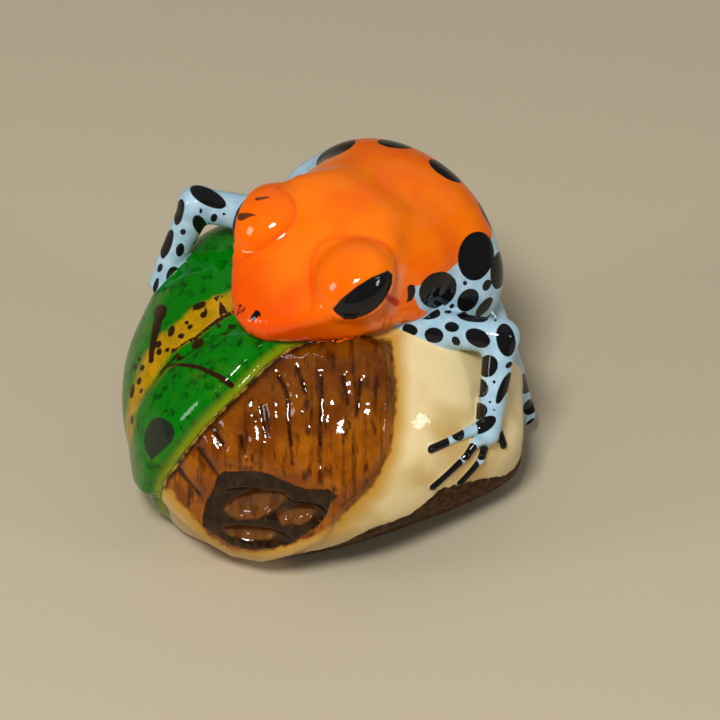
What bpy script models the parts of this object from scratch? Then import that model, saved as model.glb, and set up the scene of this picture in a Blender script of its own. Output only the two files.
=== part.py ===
"""A poison dart frog on a leaf and a seed husk, carved as one solid from a tagua nut.

Run with blender --background --python part.py, or from Blender's text editor.
The carving is described by distance functions in millimetres. A rough blank of
simple solids gives the mesh, and its points are then pulled onto the carved surface.
"""

import math

import bmesh
import bpy
import numpy as np
from mathutils import Matrix, Vector

MM = 0.001

# The nut is an egg lying on its side, with a fuller heel, one side cut flatter, and an underside that
# is flat in the middle and rises to the right and the front
NUT_MIDDLE = (-1.1, -3.8)
NUT_HALF_SIZES = (21.6, 20.3, 16.0)
NUT_SUNK = 3.0
NUT_SQUARENESS = 2.12
HEEL_OFFSET = (2.9, -0.7, -5.2)
HEEL_HALF_SIZES = (20.8, 13.1, 9.1)
HEEL_SQUARENESS = 4.4
HUMP_OFFSET = (-7.5, 6.5, 8.0)
HUMP_HALF_SIZES = (9.0, 10.0, 8.0)
FLAT_SIDE_NORMAL = (0.6, -0.742, -0.3)
FLAT_SIDE_AWAY = 20.7
FRONT_LIFT_NORMAL = (0.32, -0.62, -0.68)
FRONT_LIFT_AWAY = 17.7
LIFT_START = 7.0
LIFT_SLOPE = 0.22
HEEL_FILLET, HUMP_FILLET = 3.6, 4.0
FLAT_SIDE_ROUNDING, FRONT_LIFT_ROUNDING, LIFT_ROUNDING = 3.0, 2.5, 2.0

# Outlines are drawn on a plane that leans back, as the carving is seen from above its front
LEAN = math.radians(42.0)

# The leaf is a skin over the nut's left side and the husk's edge, with a groove for its midrib
LEAF_THICKNESS = 0.75
LEAF_STEP_WIDTH = 2.2
LEAF_REST_ON_HUSK = 6.0
LEAF_BACK_WIDTH = 3.0
LEAF_BOTTOM = 1.2
# The leaf ends behind along a line on the floor plan: this far from the middle, square to that direction
LEAF_BACK_AWAY, LEAF_BACK_NORMAL = 4.0, (0.8, 0.6)
LEAF_EDGE = [(20.0, 22.0), (-4.0, 12.3), (-6.5, 10.4), (-9.9, 6.9), (-13.4, 3.5), (-16.2, 0.0),
             (-17.9, -2.3), (-18.4, -4.2), (-17.6, -7.6), (-17.0, -16.0)]
MIDRIB = [(-6.0, 18.0), (-10.3, 14.8), (-13.8, 12.6), (-17.6, 10.4), (-19.3, 8.2), (-20.5, 6.6)]
MIDRIB_DEPTH = 0.5
MIDRIB_WIDTH = 1.1

# Between the midrib and the husk the leaf swells into a lobe
LOBE_OUTLINE = [(-7.0, 15.5), (-11.5, 14.6), (-15.2, 12.4), (-17.8, 10.6), (-20.4, 8.2), (-21.9, 6.2), (-22.6, 3.2),
                (-21.4, -0.4), (-17.6, -3.6), (-16.0, -0.8), (-12.6, 3.2), (-9.2, 6.6), (-4.6, 11.4)]
LOBE_HEIGHT = 0.7
LOBE_STEP_WIDTH = 4.5

# The husk is a swelling on the nut's front, with a flat dark scar that has three hollows
HUSK_THICKNESS = 1.4
HUSK_STEP_WIDTH = 2.4
HUSK_OUTLINE = [(-6.0, 16.5), (7.4, 13.2), (7.9, 8.8), (7.8, 4.0), (7.2, 0.8), (5.3, -3.0),
                (2.2, -5.9), (0.2, -9.2), (-3.5, -10.9), (-7.0, -11.8), (-10.8, -11.1),
                (-13.7, -9.4), (-15.7, -7.5), (-18.9, -4.4), (-27.0, 0.0), (-25.0, 14.0), (-14.0, 21.0)]
SCAR_MIDDLE = (-6.5, -5.9)
SCAR_DEPTH = 1.5
SCAR_HOLLOWS = [((-7.3, -4.9), (4.3, 2.1)), ((-1.9, -5.9), (2.1, 1.5)), ((-7.6, -8.7), (3.9, 1.3))]
HOLLOW_DEPTH = 0.9
SCAR_ROUNDING, HOLLOW_ROUNDING = 0.8, 0.6
FRONT_FADE = 4.0

# The frog's body: places are measured from the top of the nut
SPINE_HEADING = math.radians(47.7)
CHEST_PLACE, CHEST_HALF_SIZES = (4.6, 4.4, 4.2), (8.4, 8.6, 7.0)
RUMP_PLACE, RUMP_HALF_SIZES = (9.3, 10.8, -0.1), (8.0, 13.2, 10.0)
BELLY_PLACE, BELLY_HALF_SIZES = (5.5, 6.0, -4.0), (9.5, 9.5, 6.5)
HAUNCH_PLACES, HAUNCH_HALF_SIZES = [(15.6, 4.0, -2.3), (0.8, 17.0, -2.3)], (5.4, 5.4, 5.8)
SHOULDER_PLACES, SHOULDER_HALF_SIZES = [(10.0, 0.2, 3.2), (1.6, 8.2, 3.2)], (5.0, 4.8, 5.0)

# The head: its origin is on its top between the eyes, and it points nose down
HEAD_PLACE = (-0.8, -2.6, 9.2)
HEAD_HEADING = math.radians(224.0)
NOSE_DOWN = math.radians(29.0)
HEAD_HALF_OUTLINE = [(11.9, 0.0), (11.5, 2.0), (9.6, 4.2), (6.1, 7.4), (2.2, 9.4), (-2.5, 9.6),
                     (-6.0, 8.0), (-9.0, 4.5)]
CHIN_ABOVE_NUT = -0.2
CHIN_RISE = 0.08
HEAD_TOP_ROUNDING, CHIN_ROUNDING = 2.2, 1.6
# The top of the head bows from side to side, and drops towards the nape and the snout
CROWN_BOW = 0.008
NAPE_START, NAPE_DROP = -2.0, 0.06
SNOUT_START, SNOUT_DROP = 4.0, 0.008
SKULL_PLACE, SKULL_HALF_SIZES = (1.0, 0.0, -4.0), (9.0, 8.0, 4.0)
EYE_PLACE, EYE_HALF_SIZES = (0.3, 6.7, -1.9), (4.9, 4.6, 3.6)

# Limbs: shoulders and hips are measured from the top of the nut. The other joints are shares of the nut's
# half sizes from its centre. Each joint then keeps its own clearance from the nut, so that it follows its sizes
SHOULDER_JOINTS = {"left": (9.4, -2.9, -2.5), "right": (-3.0, 9.0, 2.5)}
ELBOWS = {"left": (0.963, -0.197, 0.775), "right": (-0.620, 0.419, 1.3375)}
WRISTS = {"left": (0.866, -0.532, 0.250), "right": (-0.745, 0.335, 0.619)}
HIPS = {"left": (15.5, 9.5, -5.0), "right": (2.0, 20.0, -5.0)}
KNEES = {"left": (0.963, 0.227, 0.3125), "right": (-0.069, 1.133, 0.3125)}
ANKLES = {"left": (1.125, 0.296, -0.5375), "right": (-0.134, 1.148, -0.5375)}
ARM_RADII = (2.1, 1.95, 1.3)
LEG_RADII = (4.0, 1.9, 1.35)
SHOULDER_ABOVE_NUT = {"left": -0.95, "right": 2.64}
ELBOW_ABOVE_NUT = {"left": 4.34, "right": 6.33}
HIP_ABOVE_NUT = {"left": 1.28, "right": 3.46}
KNEE_ABOVE_NUT = {"left": 0.25, "right": 1.4}
WRIST_ABOVE_NUT, ANKLE_ABOVE_NUT = 0.9, 0.9
TOE_RADIUS = 0.45
TOE_HEIGHT, KNUCKLE_HEIGHT = 0.1, 0.5
KNUCKLE_WIDENING, TOE_TIP_WIDENING = 1.5, 1.0

# Toes seen from the front, as lines on the drawing plane
FRONT_TOES = [
    [(17.2, 3.6), (15.0, 2.6), (11.8, 1.2)],
    [(17.4, 3.0), (15.7, 0.4), (12.0, -3.0)],
    [(17.9, 3.0), (17.4, 0.0), (15.1, -2.6)],
    [(18.0, 3.6), (19.4, 3.2), (20.0, 1.5)],
]

# Toes behind, from each wrist or ankle to these tips, as shares of the nut's half sizes
HAND_TIPS = {"right": [(-0.940, 0.163, 0.4375), (-0.968, 0.360, 0.344), (-0.782, 0.581, 0.469)]}
FOOT_TIPS = {
    "left": [(0.977, 0.581, -0.594), (1.046, 0.433, -0.625)],
    "right": [(-0.366, 0.926, -0.500), (-0.273, 0.926, -0.594), (0.005, 0.975, -0.594)],
}

# Fillets where the frog's masses meet, and where it meets the nut
BELLY_FILLET, RUMP_FILLET, SHOULDER_FILLET, HAUNCH_FILLET, NECK_FILLET = 3.0, 4.0, 4.0, 2.5, 2.6
EYE_FILLET, LIMB_FILLET, TOE_FILLET, NUT_FILLET = 0.6, 0.8, 0.3, 0.8
# Limbs and toes are only worked out this near to them
BONE_MARGIN = 2.5

VOXEL = 0.5
FACES = 8800
PULLS, PULLS_AFTER_THINNING, LAST_PULLS = 7, 4, 3


def unit(vector):
    vector = np.asarray(vector, float)
    return vector / np.linalg.norm(vector)


class Ball:
    """An ellipsoid, or with squareness over 2 a rounder box."""

    def __init__(self, centre, half_sizes, axes=None, squareness=2.0):
        self.centre = np.asarray(centre, float)
        self.half_sizes = np.asarray(half_sizes, float)
        self.axes = np.eye(3) if axes is None else np.asarray(axes, float)
        self.squareness = squareness

    def distance(self, points):
        n = self.squareness
        q = np.abs((points - self.centre) @ self.axes.T) / self.half_sizes
        size = np.maximum((q**n).sum(1) ** (1 / n), 1e-6)
        slope = np.linalg.norm((q / size[:, None]) ** (n - 1) / self.half_sizes, axis=1)
        return (size - 1) / np.maximum(slope, 1e-6)

    def add_to(self, bm):
        columns = (self.axes * self.half_sizes[:, None]).T
        place = Matrix.Translation(Vector(self.centre)) @ Matrix(columns.tolist()).to_4x4()
        bmesh.ops.create_uvsphere(bm, u_segments=32, v_segments=20, radius=1.0, matrix=place)


class Bone:
    """A round bar from one point to another, with its own radius at each end."""

    def __init__(self, start, end, start_radius, end_radius):
        self.start = np.asarray(start, float)
        self.end = np.asarray(end, float)
        self.radii = (start_radius, end_radius)
        self.middle = (self.start + self.end) / 2
        self.reach = np.linalg.norm(self.end - self.start) / 2 + max(self.radii) + BONE_MARGIN

    def near(self, points):
        return ((points - self.middle) ** 2).sum(1) < self.reach**2

    def distance(self, points):
        along = self.end - self.start
        share = np.clip((points - self.start) @ along / (along @ along), 0, 1)
        radius = self.radii[0] + (self.radii[1] - self.radii[0]) * share
        return np.linalg.norm(points - self.start - share[:, None] * along, axis=1) - radius

    def add_to(self, bm):
        along = Vector(self.end - self.start)
        turn = along.to_track_quat("Z", "Y").to_matrix().to_4x4()
        bmesh.ops.create_cone(bm, cap_ends=True, segments=20, radius1=self.radii[0], radius2=self.radii[1],
                              depth=along.length, matrix=Matrix.Translation(Vector(self.middle)) @ turn)
        for centre, radius in ((self.start, self.radii[0]), (self.end, self.radii[1])):
            bmesh.ops.create_uvsphere(bm, u_segments=20, v_segments=12, radius=radius,
                                      matrix=Matrix.Translation(Vector(centre)))


def blend(a, b, reach):
    """The union of two distances, with a fillet."""
    gap = np.maximum(reach - np.abs(a - b), 0) / reach
    return np.minimum(a, b) - gap * gap * reach / 4


def trim(a, b, reach):
    """What two solids share, with a rounded edge."""
    return -blend(-a, -b, reach)


def with_bones(whole, bones, points, fillet):
    """A distance with thin bars blended in, worked out only near each bar."""
    for bone in bones:
        near = bone.near(points)
        whole[near] = blend(whole[near], bone.distance(points[near]), fillet)
    return whole


def line_distance(flat, line):
    """Distance on a plane to an open line, positive on its left as one walks along it."""
    line = np.asarray(line, float)
    nearest = np.full(len(flat), 1e9)
    sign = np.zeros(len(flat))
    for start, end in zip(line, line[1:]):
        edge = end - start
        from_start = flat - start
        share = np.clip(from_start @ edge / (edge @ edge), 0, 1)
        away = np.linalg.norm(from_start - share[:, None] * edge, axis=1)
        cross = edge[0] * from_start[:, 1] - edge[1] * from_start[:, 0]
        sign = np.where(away < nearest, np.sign(cross), sign)
        nearest = np.minimum(nearest, away)
    return sign * nearest


def outline_distance(flat, outline):
    """Distance on a plane to a closed outline, negative inside."""
    corners = np.asarray(outline, float)
    inside = np.zeros(len(flat), bool)
    for start, end in zip(corners, np.roll(corners, -1, axis=0)):
        edge = end - start
        from_start = flat - start
        rises = (flat[:, 1] >= start[1]) != (flat[:, 1] >= end[1])
        cross = edge[0] * from_start[:, 1] - edge[1] * from_start[:, 0]
        inside ^= rises & ((cross > 0) == (edge[1] > 0))
    away = np.abs(line_distance(flat, np.vstack([corners, corners[:1]])))
    return np.where(inside, -away, away)


# The drawing plane's own directions: up along it, and away behind it
PLANE_UP = np.array((0.0, math.sin(LEAN), math.cos(LEAN)))
PLANE_BACK = np.array((0.0, math.cos(LEAN), -math.sin(LEAN)))


def seen(points):
    """Where points lie on the drawing plane: to the right, and up."""
    return np.stack([points[:, 0], points @ PLANE_UP], axis=1)


NUT_CENTRE = np.array((*NUT_MIDDLE, NUT_HALF_SIZES[2] - NUT_SUNK))
NUT_TOP = NUT_CENTRE + (0, 0, NUT_HALF_SIZES[2])
NUT = Ball(NUT_CENTRE, NUT_HALF_SIZES, squareness=NUT_SQUARENESS)
HEEL = Ball(NUT_CENTRE + HEEL_OFFSET, HEEL_HALF_SIZES, squareness=HEEL_SQUARENESS)
HUMP = Ball(NUT_CENTRE + HUMP_OFFSET, HUMP_HALF_SIZES)


def nut(points):
    body = blend(NUT.distance(points), HEEL.distance(points), HEEL_FILLET)
    body = blend(body, HUMP.distance(points), HUMP_FILLET)
    flat_side = (points - NUT_CENTRE) @ unit(FLAT_SIDE_NORMAL) - FLAT_SIDE_AWAY
    underside = LIFT_SLOPE * (points[:, 0] - LIFT_START) - points[:, 2]
    front_lift = (points - NUT_CENTRE) @ unit(FRONT_LIFT_NORMAL) - FRONT_LIFT_AWAY
    body = trim(body, flat_side, FLAT_SIDE_ROUNDING)
    body = trim(body, front_lift, FRONT_LIFT_ROUNDING)
    return trim(body, underside, LIFT_ROUNDING)


def slope_of(distance, points, step=0.02):
    corners = np.array(((1, 1, 1), (1, -1, -1), (-1, 1, -1), (-1, -1, 1)), float)
    return sum(corner * distance(points + step * corner)[:, None] for corner in corners) / (4 * step)


def settle(point, height=0.0):
    """The point moved onto the nut's surface, or that far above it."""
    place = np.asarray(point, float)[None, :]
    for _ in range(12):
        slope = slope_of(nut, place)
        place = place - slope * ((nut(place) - height) / (slope**2).sum(1))[:, None]
    return place[0]


def on_front(right, up, height=0.0):
    """The point of the nut's front that lies there on the drawing plane."""
    toward = np.array((right, 0.0, 0.0)) + up * PLANE_UP
    depths = np.arange(-45.0, 0.0, 0.05)
    ray = toward + depths[:, None] * PLANE_BACK
    hit = np.argmax(nut(ray) < height)
    return ray[hit]


# The body's axes: along the spine to the rump, to the frog's left, and up
SPINE = np.array((math.cos(SPINE_HEADING), math.sin(SPINE_HEADING), 0.0))
FROG_LEFT = np.array((SPINE[1], -SPINE[0], 0.0))
BODY_AXES = np.array((SPINE, FROG_LEFT, (0.0, 0.0, 1.0)))

# The head's axes: to the nose, to the frog's left, and out of its top
HEAD_LEFT = np.array((-math.sin(HEAD_HEADING), math.cos(HEAD_HEADING), 0.0))
NOSE = np.array((math.cos(HEAD_HEADING) * math.cos(NOSE_DOWN), math.sin(HEAD_HEADING) * math.cos(NOSE_DOWN),
                 -math.sin(NOSE_DOWN)))
HEAD_AXES = np.array((NOSE, HEAD_LEFT, np.cross(NOSE, HEAD_LEFT)))
HEAD_TOP = NUT_TOP + HEAD_PLACE
HEAD_OUTLINE = HEAD_HALF_OUTLINE + [(a, -b) for a, b in reversed(HEAD_HALF_OUTLINE[1:])]


def on_head(place):
    return HEAD_TOP + np.asarray(place) @ HEAD_AXES


EYES = [Ball(on_head((EYE_PLACE[0], side * EYE_PLACE[1], EYE_PLACE[2])), EYE_HALF_SIZES, HEAD_AXES)
        for side in (-1, 1)]
CHEST = Ball(NUT_TOP + CHEST_PLACE, CHEST_HALF_SIZES, BODY_AXES)
RUMP = Ball(NUT_TOP + RUMP_PLACE, RUMP_HALF_SIZES, BODY_AXES)
BELLY = Ball(NUT_TOP + BELLY_PLACE, BELLY_HALF_SIZES, BODY_AXES)
HAUNCHES = [Ball(NUT_TOP + place, HAUNCH_HALF_SIZES, BODY_AXES) for place in HAUNCH_PLACES]
SHOULDERS = [Ball(NUT_TOP + place, SHOULDER_HALF_SIZES, BODY_AXES) for place in SHOULDER_PLACES]
SKULL = Ball(on_head(SKULL_PLACE), SKULL_HALF_SIZES, HEAD_AXES)


def head(points):
    local = (points - HEAD_TOP) @ HEAD_AXES.T
    ahead, aside, above = local.T
    sides = outline_distance(local[:, :2], HEAD_OUTLINE)
    crown = CROWN_BOW * aside**2 + NAPE_DROP * np.maximum(NAPE_START - ahead, 0) ** 2
    crown = crown + SNOUT_DROP * np.maximum(ahead - SNOUT_START, 0) ** 2
    top = above + crown
    chin = NUT_TOP[2] + CHIN_ABOVE_NUT + CHIN_RISE * ahead - points[:, 2]
    return trim(trim(sides, top, HEAD_TOP_ROUNDING), chin, CHIN_ROUNDING)


def limb(stations, radii):
    return [Bone(a, b, ra, rb) for a, b, ra, rb in zip(stations, stations[1:], radii, radii[1:])]


def by_nut(shares):
    """The point at these shares of the nut's half sizes from its centre."""
    return NUT_CENTRE + np.asarray(shares) * NUT_HALF_SIZES


LIMBS = []
for side in ("left", "right"):
    shoulder = settle(NUT_TOP + SHOULDER_JOINTS[side], SHOULDER_ABOVE_NUT[side])
    elbow = settle(by_nut(ELBOWS[side]), ELBOW_ABOVE_NUT[side])
    LIMBS += limb([shoulder, elbow, settle(by_nut(WRISTS[side]), WRIST_ABOVE_NUT)], ARM_RADII)
for side in ("left", "right"):
    hip = settle(NUT_TOP + HIPS[side], HIP_ABOVE_NUT[side])
    knee = settle(by_nut(KNEES[side]), KNEE_ABOVE_NUT[side])
    LIMBS += limb([hip, knee, settle(by_nut(ANKLES[side]), ANKLE_ABOVE_NUT)], LEG_RADII)


def toe(stations):
    """A bar that lies on the nut, half sunk in it, with a wider tip."""
    root, middle, tip = stations
    places = [settle(root, KNUCKLE_HEIGHT), settle(middle, TOE_HEIGHT), settle(tip, TOE_HEIGHT)]
    return limb(places, (TOE_RADIUS * KNUCKLE_WIDENING, TOE_RADIUS, TOE_RADIUS * TOE_TIP_WIDENING))


FINGERS = [bone for line in FRONT_TOES for bone in toe([on_front(*place) for place in line])]
for joints, tips in ((WRISTS, HAND_TIPS), (ANKLES, FOOT_TIPS)):
    for side, places in tips.items():
        root = by_nut(joints[side])
        FINGERS += [bone for tip in places for bone in toe([root, (root + by_nut(tip)) / 2, by_nut(tip)])]


def frog(points):
    body = blend(CHEST.distance(points), BELLY.distance(points), BELLY_FILLET)
    body = blend(body, RUMP.distance(points), RUMP_FILLET)
    for shoulder in SHOULDERS:
        body = blend(body, shoulder.distance(points), SHOULDER_FILLET)
    for haunch in HAUNCHES:
        body = blend(body, haunch.distance(points), HAUNCH_FILLET)
    whole = blend(head(points), body, NECK_FILLET)
    for eye in EYES:
        whole = blend(whole, eye.distance(points), EYE_FILLET)
    return with_bones(whole, LIMBS, points, LIMB_FILLET)


def ramp(distance, width):
    """A smooth step from nought to one over that width."""
    share = np.clip(distance / width, 0, 1)
    return share * share * (3 - 2 * share)


def skin_under(points):
    """The nut's skin straight under each point."""
    slope = slope_of(nut, points)
    return points - slope * (nut(points) / np.maximum((slope**2).sum(1), 0.05))[:, None]


def leaf_height(points):
    """How far the leaf stands above what lies under it, at these points of the nut's skin."""
    flat = seen(points)
    inside = -line_distance(flat, LEAF_EDGE)
    before_back = LEAF_BACK_AWAY - points[:, :2] @ LEAF_BACK_NORMAL
    edge = ramp(inside, LEAF_STEP_WIDTH) * ramp(before_back, LEAF_BACK_WIDTH)
    edge = edge * ramp(points[:, 2] - LEAF_BOTTOM, LEAF_BACK_WIDTH)
    rib = np.clip(1 - np.abs(line_distance(flat, MIDRIB)) / MIDRIB_WIDTH, 0, 1) * ramp(-points[:, 1], FRONT_FADE)
    lobe = ramp(-outline_distance(flat, LOBE_OUTLINE), LOBE_STEP_WIDTH) * ramp(-points[:, 1], FRONT_FADE)
    return edge * (LEAF_THICKNESS - MIDRIB_DEPTH * rib + LOBE_HEIGHT * lobe)


SCAR_FACE = on_front(*SCAR_MIDDLE)
SCAR_NORMAL = unit(slope_of(nut, SCAR_FACE[None, :])[0])
SCAR_ACROSS = unit(np.cross(SCAR_NORMAL, (0, 0, 1)))
SCAR_AXES = np.array((SCAR_ACROSS, np.cross(SCAR_NORMAL, SCAR_ACROSS), SCAR_NORMAL))
SCAR_FACE = SCAR_FACE + SCAR_NORMAL * (HUSK_THICKNESS - SCAR_DEPTH)


def on_scar(place):
    """The point of the scar's plane that lies there on the drawing plane."""
    toward = np.array((place[0], 0.0, 0.0)) + place[1] * PLANE_UP
    depth = (SCAR_FACE - toward) @ SCAR_NORMAL / (PLANE_BACK @ SCAR_NORMAL)
    return toward + depth * PLANE_BACK


HOLLOWS = [Ball(on_scar(place), (*size, HOLLOW_DEPTH), SCAR_AXES) for place, size in SCAR_HOLLOWS]


def husk_height(points):
    """How far the husk stands above these points of the nut's skin, dying away under the leaf."""
    flat = seen(points)
    under_leaf = ramp(-line_distance(flat, LEAF_EDGE), LEAF_REST_ON_HUSK)
    inside = -outline_distance(flat, HUSK_OUTLINE)
    return HUSK_THICKNESS * ramp(inside, HUSK_STEP_WIDTH) * (1 - under_leaf) * ramp(-points[:, 1], FRONT_FADE)


def carving(points):
    """Distance to the whole carving's surface in millimetres, negative inside."""
    skin = skin_under(points)
    base = nut(points) - husk_height(skin) - leaf_height(skin)
    base = trim(base, (points - SCAR_FACE) @ SCAR_NORMAL, SCAR_ROUNDING)
    for hollow in HOLLOWS:
        base = trim(base, -hollow.distance(points), HOLLOW_ROUNDING)
    base = with_bones(base, FINGERS, points, TOE_FILLET)
    return blend(base, frog(points), NUT_FILLET)


def blank_mesh(voxel):
    """Simple solids for every mass, fused into one closed mesh of even squares."""
    bm = bmesh.new()
    for mass in [NUT, HEEL, HUMP, CHEST, RUMP, BELLY, *SHOULDERS, *HAUNCHES, SKULL, *EYES, *LIMBS, *FINGERS]:
        mass.add_to(bm)
    mesh = bpy.data.meshes.new("blank")
    bm.to_mesh(mesh)
    bm.free()
    blank = bpy.data.objects.new("blank", mesh)
    bpy.context.scene.collection.objects.link(blank)
    remesh = blank.modifiers.new("fuse", "REMESH")
    remesh.mode = "VOXEL"
    remesh.voxel_size = voxel
    fused = evaluated_mesh(blank)
    bpy.data.objects.remove(blank)
    return fused


def evaluated_mesh(thing):
    bpy.context.view_layer.update()
    return bpy.data.meshes.new_from_object(thing.evaluated_get(bpy.context.evaluated_depsgraph_get()))


def relax(points, edges):
    """Each point moved to the middle of its neighbours."""
    total = np.zeros_like(points)
    for near, far in ((0, 1), (1, 0)):
        for axis in range(3):
            total[:, axis] += np.bincount(edges[:, near], points[edges[:, far], axis], len(points))
    count = np.bincount(edges.ravel(), minlength=len(points))
    return total / count[:, None]


def pull_onto(mesh, distance, rounds):
    """Moves a mesh's points onto the surface where the distance is nought, evening them out until the last pulls."""
    points = np.empty(len(mesh.vertices) * 3)
    mesh.vertices.foreach_get("co", points)
    points = points.reshape(-1, 3)
    edges = np.empty(len(mesh.edges) * 2, np.int64)
    mesh.edges.foreach_get("vertices", edges)
    edges = edges.reshape(-1, 2)
    for turn in range(rounds):
        if turn < rounds - LAST_PULLS:
            points = 0.5 * points + 0.5 * relax(points, edges)
        slope = slope_of(distance, points)
        step = slope * (distance(points) / np.maximum((slope**2).sum(1), 0.05))[:, None]
        length = np.linalg.norm(step, axis=1, keepdims=True)
        points = points - step * np.minimum(1, 1.0 / np.maximum(length, 1e-9))
    mesh.vertices.foreach_set("co", points.ravel())
    mesh.update()


def cut_foot(mesh):
    """Cuts the mesh off flat at the floor and closes it."""
    bm = bmesh.new()
    bm.from_mesh(mesh)
    everything = bm.verts[:] + bm.edges[:] + bm.faces[:]
    bmesh.ops.bisect_plane(bm, geom=everything, dist=1e-4, plane_co=(0, 0, 0), plane_no=(0, 0, 1),
                           clear_inner=True)
    rim = [edge for edge in bm.edges if edge.is_boundary]
    bmesh.ops.contextual_create(bm, geom=rim)
    bmesh.ops.recalc_face_normals(bm, faces=bm.faces)
    bm.to_mesh(mesh)
    bm.free()


def tagua_material():
    material = bpy.data.materials.new("tagua")
    material.use_nodes = True
    shader = material.node_tree.nodes["Principled BSDF"]
    shader.inputs["Base Color"].default_value = (0.80, 0.68, 0.44, 1.0)
    shader.inputs["Roughness"].default_value = 0.22
    shader.inputs["Metallic"].default_value = 0.0
    return material


def build():
    for thing in list(bpy.data.objects):
        bpy.data.objects.remove(thing)
    collection = bpy.data.collections.new("tagua_frog")
    bpy.context.scene.collection.children.link(collection)
    mesh = blank_mesh(VOXEL)
    pull_onto(mesh, carving, PULLS)
    carved = bpy.data.objects.new("frog_carving", mesh)
    collection.objects.link(carved)
    thin = carved.modifiers.new("thin", "DECIMATE")
    thin.ratio = FACES / sum(len(face.vertices) - 2 for face in mesh.polygons)
    carved.data = evaluated_mesh(carved)
    carved.modifiers.clear()
    pull_onto(carved.data, carving, PULLS_AFTER_THINNING)
    cut_foot(carved.data)
    corners = np.array([vertex.co for vertex in carved.data.vertices])
    middle = (corners.min(0) + corners.max(0)) / 2
    carved.data.transform(Matrix.Scale(MM, 4) @ Matrix.Translation((-middle[0], -middle[1], 0)))
    carved.data.materials.append(tagua_material())
    return middle


MIDDLE = build()
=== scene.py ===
"""The looks of a tagua nut carving: a poison dart frog on a leaf and a seed husk, painted and varnished.

The carving is one solid piece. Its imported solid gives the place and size, and the same distance
functions, in millimetres, carve a finer mesh here. Every painted edge is a distance in millimetres
kept on the mesh's points, which the material turns into crisp, slightly uneven brush edges.
"""

import math

import bmesh
import bpy
import numpy as np
from mathutils import Matrix, Vector, noise
from mathutils.bvhtree import BVHTree


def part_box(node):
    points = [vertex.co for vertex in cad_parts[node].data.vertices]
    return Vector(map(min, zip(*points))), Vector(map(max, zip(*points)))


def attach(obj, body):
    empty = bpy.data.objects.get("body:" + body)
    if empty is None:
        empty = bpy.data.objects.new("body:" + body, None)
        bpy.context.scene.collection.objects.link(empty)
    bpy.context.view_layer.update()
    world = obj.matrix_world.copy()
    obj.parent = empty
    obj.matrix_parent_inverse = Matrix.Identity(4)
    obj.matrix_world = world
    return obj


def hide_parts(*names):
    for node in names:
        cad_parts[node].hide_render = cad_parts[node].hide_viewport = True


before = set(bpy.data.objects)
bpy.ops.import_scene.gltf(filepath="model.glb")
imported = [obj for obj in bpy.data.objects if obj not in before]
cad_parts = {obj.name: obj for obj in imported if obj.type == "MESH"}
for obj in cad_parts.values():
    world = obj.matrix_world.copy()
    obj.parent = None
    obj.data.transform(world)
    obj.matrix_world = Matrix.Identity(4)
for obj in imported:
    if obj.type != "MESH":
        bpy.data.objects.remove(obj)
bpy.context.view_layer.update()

MM = 0.001

# The nut is an egg lying on its side, with a fuller heel, one side cut flatter, and an underside that
# is flat in the middle and rises to the right and the front
NUT_MIDDLE = (-1.1, -3.8)
NUT_HALF_SIZES = (21.6, 20.3, 16.0)
NUT_SUNK = 3.0
NUT_SQUARENESS = 2.12
HEEL_OFFSET = (2.9, -0.7, -5.2)
HEEL_HALF_SIZES = (20.8, 13.1, 9.1)
HEEL_SQUARENESS = 4.4
HUMP_OFFSET = (-7.5, 6.5, 8.0)
HUMP_HALF_SIZES = (9.0, 10.0, 8.0)
FLAT_SIDE_NORMAL = (0.6, -0.742, -0.3)
FLAT_SIDE_AWAY = 20.7
FRONT_LIFT_NORMAL = (0.32, -0.62, -0.68)
FRONT_LIFT_AWAY = 17.7
LIFT_START = 7.0
LIFT_SLOPE = 0.22
HEEL_FILLET, HUMP_FILLET = 3.6, 4.0
FLAT_SIDE_ROUNDING, FRONT_LIFT_ROUNDING, LIFT_ROUNDING = 3.0, 2.5, 2.0

# Outlines are drawn on a plane that leans back, as the carving is seen from above its front
LEAN = math.radians(42.0)

# The leaf is a skin over the nut's left side and the husk's edge, with a groove for its midrib
LEAF_THICKNESS = 0.75
LEAF_STEP_WIDTH = 0.9
LEAF_REST_ON_HUSK = 6.0
LEAF_BACK_WIDTH = 3.0
LEAF_BOTTOM = 1.2
# The leaf ends behind along a line on the floor plan: this far from the middle, square to that direction
LEAF_BACK_AWAY, LEAF_BACK_NORMAL = 4.0, (0.8, 0.6)
LEAF_EDGE = [(20.0, 22.0), (-4.0, 12.3), (-6.5, 10.4), (-9.9, 6.9), (-13.4, 3.5), (-16.2, 0.0),
             (-17.9, -2.3), (-18.4, -4.2), (-17.6, -7.6), (-17.0, -16.0)]
MIDRIB = [(-6.0, 18.0), (-10.3, 14.8), (-13.8, 12.6), (-17.6, 10.4), (-19.3, 8.2), (-20.5, 6.6)]
MIDRIB_DEPTH = 0.5
MIDRIB_WIDTH = 1.1

# Between the midrib and the husk the leaf swells into a lobe
LOBE_OUTLINE = [(-7.0, 15.5), (-11.5, 14.6), (-15.2, 12.4), (-17.8, 10.6), (-20.4, 8.2), (-21.9, 6.2),
                (-22.6, 3.2), (-21.4, -0.4), (-17.6, -3.6), (-16.0, -0.8), (-12.6, 3.2), (-9.2, 6.6),
                (-4.6, 11.4)]
LOBE_HEIGHT = 0.7
LOBE_STEP_WIDTH = 3.0

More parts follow.
